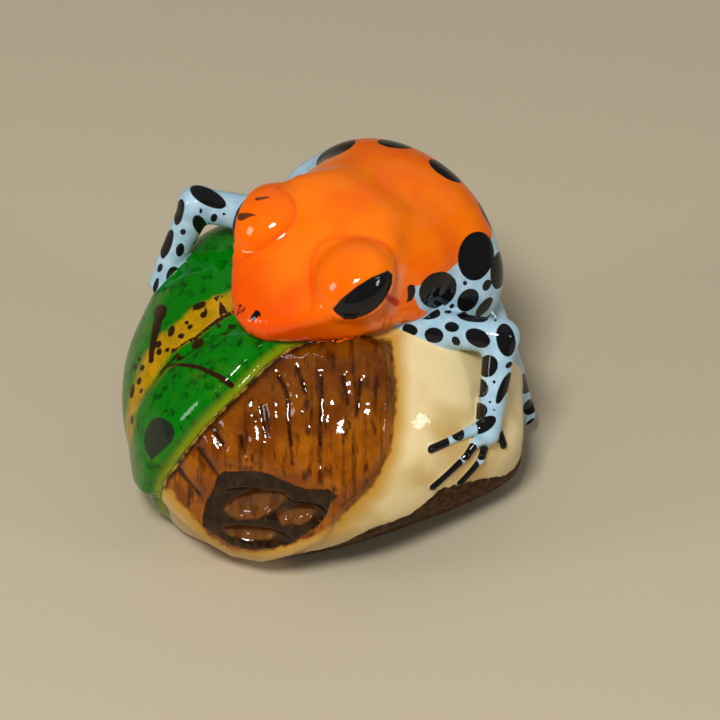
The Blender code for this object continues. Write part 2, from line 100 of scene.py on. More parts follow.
# The husk is a swelling on the nut's front, with a flat dark scar that has three hollows
HUSK_THICKNESS = 1.4
HUSK_STEP_WIDTH = 1.5
HUSK_OUTLINE = [(-6.0, 16.5), (7.4, 13.2), (7.9, 8.8), (7.8, 4.0), (7.2, 0.8), (5.3, -3.0),
                (2.2, -5.9), (0.2, -9.2), (-3.5, -10.9), (-7.0, -11.8), (-10.8, -11.1),
                (-13.7, -9.4), (-15.7, -7.5), (-18.9, -4.4), (-27.0, 0.0), (-25.0, 14.0), (-14.0, 21.0)]
SCAR_MIDDLE = (-6.5, -5.9)
SCAR_DEPTH = 1.5
SCAR_HOLLOWS = [((-7.3, -4.9), (4.3, 2.1)), ((-1.9, -5.9), (2.1, 1.5)), ((-7.6, -8.7), (3.9, 1.3))]
HOLLOW_DEPTH = 0.9
SCAR_ROUNDING, HOLLOW_ROUNDING = 0.8, 0.6
FRONT_FADE = 4.0

# The frog's body: places are measured from the top of the nut
SPINE_HEADING = math.radians(47.7)
CHEST_PLACE, CHEST_HALF_SIZES = (4.6, 4.4, 4.2), (8.4, 8.6, 7.0)
RUMP_PLACE, RUMP_HALF_SIZES = (9.3, 10.8, -0.1), (8.0, 13.2, 10.0)
BELLY_PLACE, BELLY_HALF_SIZES = (5.5, 6.0, -4.0), (9.5, 9.5, 6.5)
HAUNCH_PLACES, HAUNCH_HALF_SIZES = [(15.6, 4.0, -2.3), (0.8, 17.0, -2.3)], (5.4, 5.4, 5.8)
SHOULDER_PLACES, SHOULDER_HALF_SIZES = [(10.0, 0.2, 3.2), (1.6, 8.2, 3.2)], (5.0, 4.8, 5.0)

# The head: its origin is on its top between the eyes, and it points nose down
HEAD_PLACE = (-0.8, -2.6, 9.2)
HEAD_HEADING = math.radians(224.0)
NOSE_DOWN = math.radians(29.0)
HEAD_HALF_OUTLINE = [(11.9, 0.0), (11.5, 2.0), (9.6, 4.2), (6.1, 7.4), (2.2, 9.4), (-2.5, 9.6),
                     (-6.0, 8.0), (-9.0, 4.5)]
CHIN_ABOVE_NUT = -0.2
CHIN_RISE = 0.08
HEAD_TOP_ROUNDING, CHIN_ROUNDING = 1.5, 1.2
# The top of the head bows from side to side, and drops towards the nape and the snout
CROWN_BOW = 0.008
NAPE_START, NAPE_DROP = -2.0, 0.06
SNOUT_START, SNOUT_DROP = 4.0, 0.008
SKULL_PLACE, SKULL_HALF_SIZES = (1.0, 0.0, -4.0), (9.0, 8.0, 4.0)
EYE_PLACE, EYE_HALF_SIZES = (0.3, 6.7, -1.9), (4.9, 4.6, 3.6)

# Limbs: shoulders and hips are measured from the top of the nut, and the other joints are shares of the
# nut's half sizes from its centre. Each joint then keeps its own clearance from the nut
SHOULDER_JOINTS = {"left": (9.4, -2.9, -2.5), "right": (-3.0, 9.0, 2.5)}
ELBOWS = {"left": (0.963, -0.197, 0.775), "right": (-0.620, 0.419, 1.3375)}
WRISTS = {"left": (0.866, -0.532, 0.250), "right": (-0.745, 0.335, 0.619)}
HIPS = {"left": (15.5, 9.5, -5.0), "right": (2.0, 20.0, -5.0)}
KNEES = {"left": (0.963, 0.227, 0.3125), "right": (-0.069, 1.133, 0.3125)}
ANKLES = {"left": (1.125, 0.296, -0.5375), "right": (-0.134, 1.148, -0.5375)}
ARM_RADII = (2.1, 1.95, 1.3)
LEG_RADII = (4.0, 1.9, 1.35)
SHOULDER_ABOVE_NUT = {"left": -0.95, "right": 2.64}
ELBOW_ABOVE_NUT = {"left": 4.34, "right": 6.33}
HIP_ABOVE_NUT = {"left": 1.28, "right": 3.46}
KNEE_ABOVE_NUT = {"left": 0.25, "right": 1.4}
WRIST_ABOVE_NUT, ANKLE_ABOVE_NUT = 0.9, 0.9
TOE_RADIUS = 0.45
TOE_HEIGHT, KNUCKLE_HEIGHT = 0.1, 0.5
KNUCKLE_WIDENING, TOE_TIP_WIDENING = 1.5, 1.0

# Toes seen from the front, as lines on the drawing plane
FRONT_TOES = [
    [(17.2, 3.6), (15.0, 2.6), (11.8, 1.2)],
    [(17.4, 3.0), (15.7, 0.4), (12.0, -3.0)],
    [(17.9, 3.0), (17.4, 0.0), (15.1, -2.6)],
    [(18.0, 3.6), (19.4, 3.2), (20.0, 1.5)],
]

# Toes behind, from each wrist or ankle to these tips, as shares of the nut's half sizes
HAND_TIPS = {"right": [(-0.940, 0.163, 0.4375), (-0.968, 0.360, 0.344), (-0.782, 0.581, 0.469)]}
FOOT_TIPS = {
    "left": [(0.977, 0.581, -0.594), (1.046, 0.433, -0.625)],
    "right": [(-0.366, 0.926, -0.500), (-0.273, 0.926, -0.594), (0.005, 0.975, -0.594)],
}

# Fillets where the frog's masses meet, and where it meets the nut
BELLY_FILLET, RUMP_FILLET, SHOULDER_FILLET, HAUNCH_FILLET, NECK_FILLET = 3.0, 4.0, 4.0, 2.5, 2.6
EYE_FILLET, LIMB_FILLET, TOE_FILLET, NUT_FILLET = 0.6, 0.8, 0.3, 0.8
# Limbs and toes are only worked out this near to them
BONE_MARGIN = 2.5

# How points are found on the surface, in millimetres
SETTLING_STEPS = 12
RAY_LENGTH, RAY_STEP = 45.0, 0.05
LEAST_SLOPE_SQUARED, LONGEST_PULL, SNAP = 0.05, 1.0, 1e-4



def unit(vector):
    vector = np.asarray(vector, float)
    return vector / np.linalg.norm(vector)


class Ball:
    """An ellipsoid, or with squareness over 2 a rounder box."""

    def __init__(self, centre, half_sizes, axes=None, squareness=2.0):
        self.centre = np.asarray(centre, float)
        self.half_sizes = np.asarray(half_sizes, float)
        self.axes = np.eye(3) if axes is None else np.asarray(axes, float)
        self.squareness = squareness

    def distance(self, points):
        n = self.squareness
        q = np.abs((points - self.centre) @ self.axes.T) / self.half_sizes
        size = np.maximum((q**n).sum(1) ** (1 / n), 1e-6)
        slope = np.linalg.norm((q / size[:, None]) ** (n - 1) / self.half_sizes, axis=1)
        return (size - 1) / np.maximum(slope, 1e-6)

    def add_to(self, bm):
        columns = (self.axes * self.half_sizes[:, None]).T
        place = Matrix.Translation(Vector(self.centre)) @ Matrix(columns.tolist()).to_4x4()
        bmesh.ops.create_uvsphere(bm, u_segments=32, v_segments=20, radius=1.0, matrix=place)


class Bone:
    """A round bar from one point to another, with its own radius at each end."""

    def __init__(self, start, end, start_radius, end_radius):
        self.start = np.asarray(start, float)
        self.end = np.asarray(end, float)
        self.radii = (start_radius, end_radius)
        self.middle = (self.start + self.end) / 2
        self.reach = np.linalg.norm(self.end - self.start) / 2 + max(self.radii) + BONE_MARGIN

    def near(self, points):
        return ((points - self.middle) ** 2).sum(1) < self.reach**2

    def distance(self, points):
        along = self.end - self.start
        share = np.clip((points - self.start) @ along / (along @ along), 0, 1)
        radius = self.radii[0] + (self.radii[1] - self.radii[0]) * share
        return np.linalg.norm(points - self.start - share[:, None] * along, axis=1) - radius

    def add_to(self, bm):
        along = Vector(self.end - self.start)
        turn = along.to_track_quat("Z", "Y").to_matrix().to_4x4()
        bmesh.ops.create_cone(bm, cap_ends=True, segments=20, radius1=self.radii[0], radius2=self.radii[1],
                              depth=along.length, matrix=Matrix.Translation(Vector(self.middle)) @ turn)
        for centre, radius in ((self.start, self.radii[0]), (self.end, self.radii[1])):
            bmesh.ops.create_uvsphere(bm, u_segments=20, v_segments=12, radius=radius,
                                      matrix=Matrix.Translation(Vector(centre)))


def blend(a, b, reach):
    """The union of two distances, with a fillet."""
    gap = np.maximum(reach - np.abs(a - b), 0) / reach
    return np.minimum(a, b) - gap * gap * reach / 4


def trim(a, b, reach):
    """What two solids share, with a rounded edge."""
    return -blend(-a, -b, reach)


def with_bones(whole, bones, points, fillet):
    """A distance with thin bars blended in, worked out only near each bar."""
    for bone in bones:
        near = bone.near(points)
        whole[near] = blend(whole[near], bone.distance(points[near]), fillet)
    return whole


def to_segment(flat, start, end):
    """For points on a plane: how far along a segment they lie, how far from it, and on which side."""
    edge = end - start
    from_start = flat - start
    share = np.clip(from_start @ edge / (edge @ edge), 0, 1)
    away = np.linalg.norm(from_start - share[:, None] * edge, axis=1)
    return share, away, edge[0] * from_start[:, 1] - edge[1] * from_start[:, 0]


def line_distance(flat, line):
    """Distance on a plane to an open line, positive on its left as one walks along it."""
    line = np.asarray(line, float)
    nearest = np.full(len(flat), 1e9)
    sign = np.zeros(len(flat))
    for start, end in zip(line, line[1:]):
        _, away, cross = to_segment(flat, start, end)
        sign = np.where(away < nearest, np.sign(cross), sign)
        nearest = np.minimum(nearest, away)
    return sign * nearest


def outline_distance(flat, outline):
    """Distance on a plane to a closed outline, negative inside."""
    corners = np.asarray(outline, float)
    inside = np.zeros(len(flat), bool)
    for start, end in zip(corners, np.roll(corners, -1, axis=0)):
        edge = end - start
        from_start = flat - start
        rises = (flat[:, 1] >= start[1]) != (flat[:, 1] >= end[1])
        cross = edge[0] * from_start[:, 1] - edge[1] * from_start[:, 0]
        inside ^= rises & ((cross > 0) == (edge[1] > 0))
    away = np.abs(line_distance(flat, np.vstack([corners, corners[:1]])))
    return np.where(inside, -away, away)


# The drawing plane's own directions: up along it, and away behind it
PLANE_UP = np.array((0.0, math.sin(LEAN), math.cos(LEAN)))
PLANE_BACK = np.array((0.0, math.cos(LEAN), -math.sin(LEAN)))


def seen(points):
    """Where points lie on the drawing plane: to the right, and up."""
    return np.stack([points[:, 0], points @ PLANE_UP], axis=1)


NUT_CENTRE = np.array((*NUT_MIDDLE, NUT_HALF_SIZES[2] - NUT_SUNK))
NUT_TOP = NUT_CENTRE + (0, 0, NUT_HALF_SIZES[2])
NUT = Ball(NUT_CENTRE, NUT_HALF_SIZES, squareness=NUT_SQUARENESS)
HEEL = Ball(NUT_CENTRE + HEEL_OFFSET, HEEL_HALF_SIZES, squareness=HEEL_SQUARENESS)
HUMP = Ball(NUT_CENTRE + HUMP_OFFSET, HUMP_HALF_SIZES)


def nut(points):
    body = blend(NUT.distance(points), HEEL.distance(points), HEEL_FILLET)
    body = blend(body, HUMP.distance(points), HUMP_FILLET)
    flat_side = (points - NUT_CENTRE) @ unit(FLAT_SIDE_NORMAL) - FLAT_SIDE_AWAY
    underside = LIFT_SLOPE * (points[:, 0] - LIFT_START) - points[:, 2]
    front_lift = (points - NUT_CENTRE) @ unit(FRONT_LIFT_NORMAL) - FRONT_LIFT_AWAY
    body = trim(body, flat_side, FLAT_SIDE_ROUNDING)
    body = trim(body, front_lift, FRONT_LIFT_ROUNDING)
    return trim(body, underside, LIFT_ROUNDING)


def slope_of(distance, points, step=0.02):
    corners = np.array(((1, 1, 1), (1, -1, -1), (-1, 1, -1), (-1, -1, 1)), float)
    return sum(corner * distance(points + step * corner)[:, None] for corner in corners) / (4 * step)


def settle(point, height=0.0):
    """The point moved onto the nut's surface, or that far above it."""
    place = np.asarray(point, float)[None, :]
    for _ in range(SETTLING_STEPS):
        slope = slope_of(nut, place)
        place = place - slope * ((nut(place) - height) / (slope**2).sum(1))[:, None]
    return place[0]


def on_front(right, up, height=0.0):
    """The point of the nut's front that lies there on the drawing plane."""
    toward = np.array((right, 0.0, 0.0)) + up * PLANE_UP
    depths = np.arange(-RAY_LENGTH, 0.0, RAY_STEP)
    ray = toward + depths[:, None] * PLANE_BACK
    hit = np.argmax(nut(ray) < height)
    return ray[hit]


# The body's axes: along the spine to the rump, to the frog's left, and up
SPINE = np.array((math.cos(SPINE_HEADING), math.sin(SPINE_HEADING), 0.0))
FROG_LEFT = np.array((SPINE[1], -SPINE[0], 0.0))
BODY_AXES = np.array((SPINE, FROG_LEFT, (0.0, 0.0, 1.0)))

# The head's axes: to the nose, to the frog's left, and out of its top
HEAD_LEFT = np.array((-math.sin(HEAD_HEADING), math.cos(HEAD_HEADING), 0.0))
NOSE = np.array((math.cos(HEAD_HEADING) * math.cos(NOSE_DOWN), math.sin(HEAD_HEADING) * math.cos(NOSE_DOWN),
                 -math.sin(NOSE_DOWN)))
HEAD_AXES = np.array((NOSE, HEAD_LEFT, np.cross(NOSE, HEAD_LEFT)))
HEAD_TOP = NUT_TOP + HEAD_PLACE
HEAD_OUTLINE = HEAD_HALF_OUTLINE + [(a, -b) for a, b in reversed(HEAD_HALF_OUTLINE[1:])]


def on_head(place):
    return HEAD_TOP + np.asarray(place) @ HEAD_AXES


EYES = [Ball(on_head((EYE_PLACE[0], side * EYE_PLACE[1], EYE_PLACE[2])), EYE_HALF_SIZES, HEAD_AXES)
        for side in (-1, 1)]
CHEST = Ball(NUT_TOP + CHEST_PLACE, CHEST_HALF_SIZES, BODY_AXES)
RUMP = Ball(NUT_TOP + RUMP_PLACE, RUMP_HALF_SIZES, BODY_AXES)
BELLY = Ball(NUT_TOP + BELLY_PLACE, BELLY_HALF_SIZES, BODY_AXES)
HAUNCHES = [Ball(NUT_TOP + place, HAUNCH_HALF_SIZES, BODY_AXES) for place in HAUNCH_PLACES]
SHOULDERS = [Ball(NUT_TOP + place, SHOULDER_HALF_SIZES, BODY_AXES) for place in SHOULDER_PLACES]
SKULL = Ball(on_head(SKULL_PLACE), SKULL_HALF_SIZES, HEAD_AXES)


def head(points):
    local = (points - HEAD_TOP) @ HEAD_AXES.T
    ahead, aside, above = local.T
    sides = outline_distance(local[:, :2], HEAD_OUTLINE)
    crown = CROWN_BOW * aside**2 + NAPE_DROP * np.maximum(NAPE_START - ahead, 0) ** 2
    crown = crown + SNOUT_DROP * np.maximum(ahead - SNOUT_START, 0) ** 2
    top = above + crown
    chin = NUT_TOP[2] + CHIN_ABOVE_NUT + CHIN_RISE * ahead - points[:, 2]
    return trim(trim(sides, top, HEAD_TOP_ROUNDING), chin, CHIN_ROUNDING)


def limb(stations, radii):
    return [Bone(a, b, ra, rb) for a, b, ra, rb in zip(stations, stations[1:], radii, radii[1:])]


def by_nut(shares):
    """The point at these shares of the nut's half sizes from its centre."""
    return NUT_CENTRE + np.asarray(shares) * NUT_HALF_SIZES


LIMBS = []
for side in ("left", "right"):
    shoulder = settle(NUT_TOP + SHOULDER_JOINTS[side], SHOULDER_ABOVE_NUT[side])
    elbow = settle(by_nut(ELBOWS[side]), ELBOW_ABOVE_NUT[side])
    LIMBS += limb([shoulder, elbow, settle(by_nut(WRISTS[side]), WRIST_ABOVE_NUT)], ARM_RADII)
for side in ("left", "right"):
    hip = settle(NUT_TOP + HIPS[side], HIP_ABOVE_NUT[side])
    knee = settle(by_nut(KNEES[side]), KNEE_ABOVE_NUT[side])
    LIMBS += limb([hip, knee, settle(by_nut(ANKLES[side]), ANKLE_ABOVE_NUT)], LEG_RADII)


def toe(stations):
    """A bar that lies on the nut, half sunk in it, with a wider tip."""
    root, middle, tip = stations
    places = [settle(root, KNUCKLE_HEIGHT), settle(middle, TOE_HEIGHT), settle(tip, TOE_HEIGHT)]
    return limb(places, (TOE_RADIUS * KNUCKLE_WIDENING, TOE_RADIUS, TOE_RADIUS * TOE_TIP_WIDENING))


FINGERS = [bone for line in FRONT_TOES for bone in toe([on_front(*place) for place in line])]
for joints, tips in ((WRISTS, HAND_TIPS), (ANKLES, FOOT_TIPS)):
    for side, places in tips.items():
        root = by_nut(joints[side])
        FINGERS += [bone for tip in places for bone in toe([root, (root + by_nut(tip)) / 2, by_nut(tip)])]


def frog(points):
    body = blend(CHEST.distance(points), BELLY.distance(points), BELLY_FILLET)
    body = blend(body, RUMP.distance(points), RUMP_FILLET)
    for shoulder in SHOULDERS:
        body = blend(body, shoulder.distance(points), SHOULDER_FILLET)
    for haunch in HAUNCHES:
        body = blend(body, haunch.distance(points), HAUNCH_FILLET)
    whole = blend(head(points), body, NECK_FILLET)
    for eye in EYES:
        whole = blend(whole, eye.distance(points), EYE_FILLET)
    return with_bones(whole, LIMBS, points, LIMB_FILLET)


def ramp(distance, width):
    """A smooth step from nought to one over that width."""
    share = np.clip(distance / width, 0, 1)
    return share * share * (3 - 2 * share)


def skin_under(points):
    """The nut's skin straight under each point."""
    slope = slope_of(nut, points)
    return points - slope * (nut(points) / np.maximum((slope**2).sum(1), LEAST_SLOPE_SQUARED))[:, None]


def leaf_height(points):
    """How far the leaf stands above what lies under it, at these points of the nut's skin."""
    flat = seen(points)
    inside = -line_distance(flat, LEAF_EDGE)
    before_back = LEAF_BACK_AWAY - points[:, :2] @ LEAF_BACK_NORMAL
    edge = ramp(inside, LEAF_STEP_WIDTH) * ramp(before_back, LEAF_BACK_WIDTH)
    edge = edge * ramp(points[:, 2] - LEAF_BOTTOM, LEAF_BACK_WIDTH)
    fade = ramp(-points[:, 1], FRONT_FADE)
    rib = np.clip(1 - np.abs(line_distance(flat, MIDRIB)) / MIDRIB_WIDTH, 0, 1) * fade
    lobe = ramp(-outline_distance(flat, LOBE_OUTLINE), LOBE_STEP_WIDTH) * fade
    return edge * (LEAF_THICKNESS - MIDRIB_DEPTH * rib + LOBE_HEIGHT * lobe)


SCAR_FACE = on_front(*SCAR_MIDDLE)
SCAR_NORMAL = unit(slope_of(nut, SCAR_FACE[None, :])[0])
SCAR_ACROSS = unit(np.cross(SCAR_NORMAL, (0, 0, 1)))
SCAR_AXES = np.array((SCAR_ACROSS, np.cross(SCAR_NORMAL, SCAR_ACROSS), SCAR_NORMAL))
SCAR_FACE = SCAR_FACE + SCAR_NORMAL * (HUSK_THICKNESS - SCAR_DEPTH)


def on_scar(place):
    """The point of the scar's plane that lies there on the drawing plane."""
    toward = np.array((place[0], 0.0, 0.0)) + place[1] * PLANE_UP
    depth = (SCAR_FACE - toward) @ SCAR_NORMAL / (PLANE_BACK @ SCAR_NORMAL)
    return toward + depth * PLANE_BACK


HOLLOWS = [Ball(on_scar(place), (*size, HOLLOW_DEPTH), SCAR_AXES) for place, size in SCAR_HOLLOWS]


def husk_height(points):
    """How far the husk stands above these points of the nut's skin, dying away under the leaf."""
    flat = seen(points)
    under_leaf = ramp(-line_distance(flat, LEAF_EDGE), LEAF_REST_ON_HUSK)
    inside = -outline_distance(flat, HUSK_OUTLINE)
    return HUSK_THICKNESS * ramp(inside, HUSK_STEP_WIDTH) * (1 - under_leaf) * ramp(-points[:, 1], FRONT_FADE)


def carving(points):
    """Distance to the whole carving's surface in millimetres, negative inside."""
    skin = skin_under(points)
    base = nut(points) - husk_height(skin) - leaf_height(skin)
    base = trim(base, (points - SCAR_FACE) @ SCAR_NORMAL, SCAR_ROUNDING)
    for hollow in HOLLOWS:
        base = trim(base, -hollow.distance(points), HOLLOW_ROUNDING)
    base = with_bones(base, FINGERS, points, TOE_FILLET)
    return blend(base, frog(points), NUT_FILLET)


def blank_mesh(voxel):
    """Simple solids for every mass, fused into one closed mesh of even squares."""
    bm = bmesh.new()
    for mass in [NUT, HEEL, HUMP, CHEST, RUMP, BELLY, *SHOULDERS, *HAUNCHES, SKULL, *EYES, *LIMBS, *FINGERS]:
        mass.add_to(bm)
    mesh = bpy.data.meshes.new("blank")
    bm.to_mesh(mesh)
    bm.free()
    blank = bpy.data.objects.new("blank", mesh)
    bpy.context.scene.collection.objects.link(blank)
    remesh = blank.modifiers.new("fuse", "REMESH")
    remesh.mode = "VOXEL"
    remesh.voxel_size = voxel
    fused = evaluated_mesh(blank)
    bpy.data.objects.remove(blank)
    return fused


def evaluated_mesh(thing):
    bpy.context.view_layer.update()
    return bpy.data.meshes.new_from_object(thing.evaluated_get(bpy.context.evaluated_depsgraph_get()))


def read_points(mesh):
    points = np.empty(len(mesh.vertices) * 3)
    mesh.vertices.foreach_get("co", points)
    return points.reshape(-1, 3)


def move_points(mesh, points):
    mesh.vertices.foreach_set("co", np.ascontiguousarray(points).ravel())
    mesh.update()


def relax(points, edges):
    """Each point moved to the middle of its neighbours."""
    total = np.zeros_like(points)
    for near, far in ((0, 1), (1, 0)):
        for axis in range(3):
            total[:, axis] += np.bincount(edges[:, near], points[edges[:, far], axis], len(points))
    count = np.bincount(edges.ravel(), minlength=len(points))
    return total / count[:, None]


def pull_onto(mesh, distance, rounds):
    """Moves a mesh's points onto the surface at distance nought, evening them out until the last pulls."""
    points = read_points(mesh)
    edges = np.empty(len(mesh.edges) * 2, np.int64)
    mesh.edges.foreach_get("vertices", edges)
    edges = edges.reshape(-1, 2)
    for turn in range(rounds):
        if turn < rounds - LAST_PULLS:
            points = 0.5 * points + 0.5 * relax(points, edges)
        slope = slope_of(distance, points)
        step = slope * (distance(points) / np.maximum((slope**2).sum(1), LEAST_SLOPE_SQUARED))[:, None]
        length = np.linalg.norm(step, axis=1, keepdims=True)
        points = points - step * np.minimum(1, LONGEST_PULL / np.maximum(length, 1e-9))
    move_points(mesh, points)


def cut_foot(mesh):
    """Cuts the mesh off flat at the floor and closes it."""
    bm = bmesh.new()
    bm.from_mesh(mesh)
    everything = bm.verts[:] + bm.edges[:] + bm.faces[:]
    bmesh.ops.bisect_plane(bm, geom=everything, dist=SNAP, plane_co=(0, 0, 0), plane_no=(0, 0, 1),
                           clear_inner=True)
    rim = [edge for edge in bm.edges if edge.is_boundary]
    bmesh.ops.contextual_create(bm, geom=rim)
    bmesh.ops.recalc_face_normals(bm, faces=bm.faces)
    bm.to_mesh(mesh)
    bm.free()


# The photograph's view: a long lens from above the front
VIEW_MIDDLE = np.array((3.9, -1.1, 15.9))
CAMERA_AWAY = 450.0
MM_PER_PIXEL = 0.115
PHOTO_MIDDLE = 360.0
LENS_MM, SENSOR_MM, CLIP_START = 195.6, 36.0, 0.01
CAMERA_PLACE = VIEW_MIDDLE - PLANE_BACK * CAMERA_AWAY


def in_photo(points):
    """Where points lie in the photograph, in its pixels."""
    offset = points - VIEW_MIDDLE
    scale = MM_PER_PIXEL * (1 + offset @ PLANE_BACK / CAMERA_AWAY)
    return np.stack([PHOTO_MIDDLE + offset[:, 0] / scale, PHOTO_MIDDLE - offset @ PLANE_UP / scale], axis=1)


def stroke(flat, line, widths):
    """Distance in millimetres to a brush stroke through these pixels, from its first width to its last."""
    line = np.asarray(line, float)
    lengths = np.linalg.norm(np.diff(line, axis=0), axis=1)
    reached = np.concatenate([[0], np.cumsum(lengths)]) / lengths.sum()
    nearest = np.full(len(flat), 1e3)
    for i, (start, end) in enumerate(zip(line, line[1:])):
        share, away, _ = to_segment(flat, start, end)
        along = reached[i] + share * (reached[i + 1] - reached[i])
        width = widths[0] + (widths[1] - widths[0]) * along
        nearest = np.minimum(nearest, away * MM_PER_PIXEL - width / 2)
    return nearest


def blot(flat, column, row, length, width, turn):
    """Distance in millimetres to an oval round a pixel: its size in millimetres, its turn in degrees."""
    angle = math.radians(turn)
    right, down = ((flat - (column, row)) * MM_PER_PIXEL).T
    along = right * math.cos(angle) - down * math.sin(angle)
    across = right * math.sin(angle) + down * math.cos(angle)
    half_long, half_wide = length / 2, width / 2
    radius = np.maximum(np.hypot(along / half_long, across / half_wide), 1e-6)
    slope = np.maximum(np.hypot(along / half_long**2, across / half_wide**2) / radius, 1e-6)
    return (radius - 1) / slope


def patch(flat, corners):
    """Distance in millimetres to a closed outline of pixels, negative inside."""
    return outline_distance(flat, corners) * MM_PER_PIXEL


# Painted spots on the limbs and the rump: the middle's pixel column and row, length and width in
# millimetres, and turn in degrees anticlockwise
LEFT_ARM_SPOTS = [
    (208, 197, 4.6, 1.9, -28), (179, 212, 3.1, 1.1, 78), (167, 244, 3.5, 1.1, 72),
    (183, 232, 0.75, 0.75, 0), (180, 250, 1.6, 1.0, 80), (201, 211, 0.7, 0.4, 90), (214, 218, 1.0, 0.8, 70),
    (224, 214, 0.45, 0.35, 0), (200, 225, 2.5, 1.5, -62), (222, 233, 2.4, 1.7, -60),
    (197, 242, 1.3, 1.0, 40), (193, 262, 2.4, 1.6, 50), (173, 277, 2.4, 1.6, 80), (160, 268, 1.1, 0.6, 70),
    (156, 285, 1.8, 0.55, 75),
]
RIGHT_ARM_SPOTS = [
    (425, 312, 3.6, 1.7, -6), (448, 312, 0.9, 0.4, 0), (473, 317, 3.6, 1.2, -6), (495, 320, 0.45, 0.4, 0),
    (410, 330, 1.8, 1.3, -15), (434, 335, 2.2, 1.8, -10), (452, 327, 1.7, 1.2, -5),
    (456, 341, 1.2, 0.9, -60), (478, 338, 3.1, 2.0, -28), (506, 340, 3.9, 2.2, -80),
    (415, 342, 3.6, 0.4, -4), (488, 366, 2.6, 2.3, 70), (509, 365, 1.0, 0.6, 40), (480, 388, 2.2, 1.9, -70),
    (494, 382, 0.45, 0.4, 0), (504, 388, 4.0, 1.1, 66), (464, 396, 2.0, 0.6, 78), (477, 411, 2.5, 1.9, 10),
    (490, 402, 0.35, 0.3, 0), (494, 410, 0.35, 0.3, 0), (484, 425, 3.2, 1.6, 33),
]
FINGER_SPOTS = [
    (458, 434, 1.5, 1.6, 20), (436, 446, 3.3, 2.6, 32), (470, 439, 0.5, 0.45, 0), (469, 452, 2.3, 1.6, 48),
    (446, 475, 5.0, 2.2, 44), (483, 453, 1.8, 1.4, 56), (468, 474, 3.6, 2.0, 53), (496, 427, 1.7, 1.2, -70),
    (505, 439, 2.4, 1.8, 72),
]
HIND_LEG_SPOTS = [(526, 383, 2.5, 1.5, 80), (530, 407, 2.0, 1.5, 60), (531, 423, 1.6, 0.7, 40)]
RUMP_SPOTS = [
    (476, 256, 5.7, 4.1, 80), (438, 290, 4.6, 3.9, 40), (409, 294, 2.3, 1.3, 66), (468, 300, 2.9, 2.2, 50),
    (465, 283, 0.6, 0.5, 80), (487, 285, 1.4, 0.9, 60), (484, 307, 2.8, 1.1, 50), (499, 270, 4.4, 1.9, 82),
    (452, 306, 0.7, 0.5, 40),
]
# Round spots at the edge of what the photograph shows: pixel of the middle, and radius in millimetres
RUMP_EDGE_SPOTS = [((334, 150), 2.7), ((395, 143), 2.0), ((446, 170), 2.2), ((487, 215), 2.3)]
NOSTRILS = [((240, 311), 0.75), ((255, 316), 0.7)]

# Painted marks on the leaf: the drops, the midrib and its veins, and the brown spots
MIDRIB_PIXELS = [(236, 311), (220, 319), (209, 327), (196, 337), (183, 344), (171, 353), (160, 370),
                 (150, 384), (141, 398), (135, 416), (131, 440)]
BAND_OUTLINE = MIDRIB_PIXELS + [(126, 455), (125, 420), (130, 396), (136, 376), (146, 352), (163, 333),
                                (181, 319), (196, 306), (214, 297), (236, 290)]
LEAF_VEINS = [
    ([(236, 311), (220, 319), (209, 327), (196, 337), (183, 344), (171, 353)], (0.45, 0.2)),
    ([(178, 354), (171, 361), (163, 369), (158, 378)], (0.35, 0.15)),
    ([(161, 371), (171, 364), (183, 365), (199, 367), (211, 373), (220, 377), (231, 385)], (0.25, 0.75)),
    ([(160, 312), (157, 325), (153, 340), (151, 356)], (1.1, 0.55)),
]
LEAF_SPOTS = [
    (160, 312, 1.9, 1.5, 60), (219, 298, 1.2, 0.6, 12), (199, 306, 1.9, 0.8, 20), (223, 311, 1.2, 0.7, 8),
    (204, 315, 1.1, 0.65, 18), (186, 323, 0.65, 0.4, 30), (190, 327, 0.8, 0.5, 40),
    (171, 331, 1.4, 0.8, 70), (181, 336, 0.9, 0.6, 25), (158, 344, 1.0, 0.7, 35), (167, 350, 0.7, 0.5, 40),
    (159, 352, 0.8, 0.6, 70), (173, 350, 0.5, 0.4, 40), (151, 360, 0.8, 0.6, 70), (139, 359, 0.6, 0.45, 70),
    (135, 366, 0.9, 0.45, 70), (142, 368, 0.8, 0.55, 70), (139, 381, 0.9, 0.55, 70),
    (132, 391, 1.7, 0.5, 82), (141, 391, 0.7, 0.35, 60), (132, 420, 1.1, 0.4, 85), (219, 327, 0.8, 0.3, 25),
    (232, 327, 1.0, 0.7, -10), (224, 334, 0.8, 0.3, 10), (198, 344, 1.7, 0.9, 30), (180, 358, 0.9, 0.5, 25),
]
DROP_OUTLINE = [(151, 421), (158, 417), (166, 419), (173, 425), (175, 432), (173, 440), (167, 447),
                (160, 453), (151, 461), (147, 452), (143, 442), (145, 430)]

# Carved and painted lines of the husk, and the outline of the scar on its end
HUSK_GROOVES = [
    [(279, 376), (288, 396), (288, 422), (291, 446), (292, 465)],
    [(297, 367), (303, 384), (309, 403)],
    [(321, 376), (322, 399), (320, 422), (320, 465)],
    [(343, 376), (346, 391), (348, 403)],
    [(361, 380), (357, 416)],
    [(260, 406), (266, 437)],
    [(240, 437), (243, 455)],
    [(213, 429), (222, 446)],
    [(197, 449), (216, 475)],
    [(176, 468), (186, 483), (199, 497)],
]
HUSK_PAINT_OUTLINE = [(110, 300), (430, 300), (430, 430), (366, 508), (350, 517), (336, 522), (322, 533),
                      (300, 541), (285, 547), (270, 550), (250, 552), (232, 550), (215, 540), (203, 530),
                      (195, 520), (187, 511), (177, 500), (170, 490), (110, 470)]
SCAR_OUTLINE = [(217, 477), (223, 472), (254, 470), (272, 475), (294, 485), (306, 489), (329, 489),
                (338, 496), (330, 503), (327, 515), (318, 526), (291, 544), (275, 550), (248, 550),
                (229, 544), (202, 527), (202, 518), (205, 503), (211, 495)]
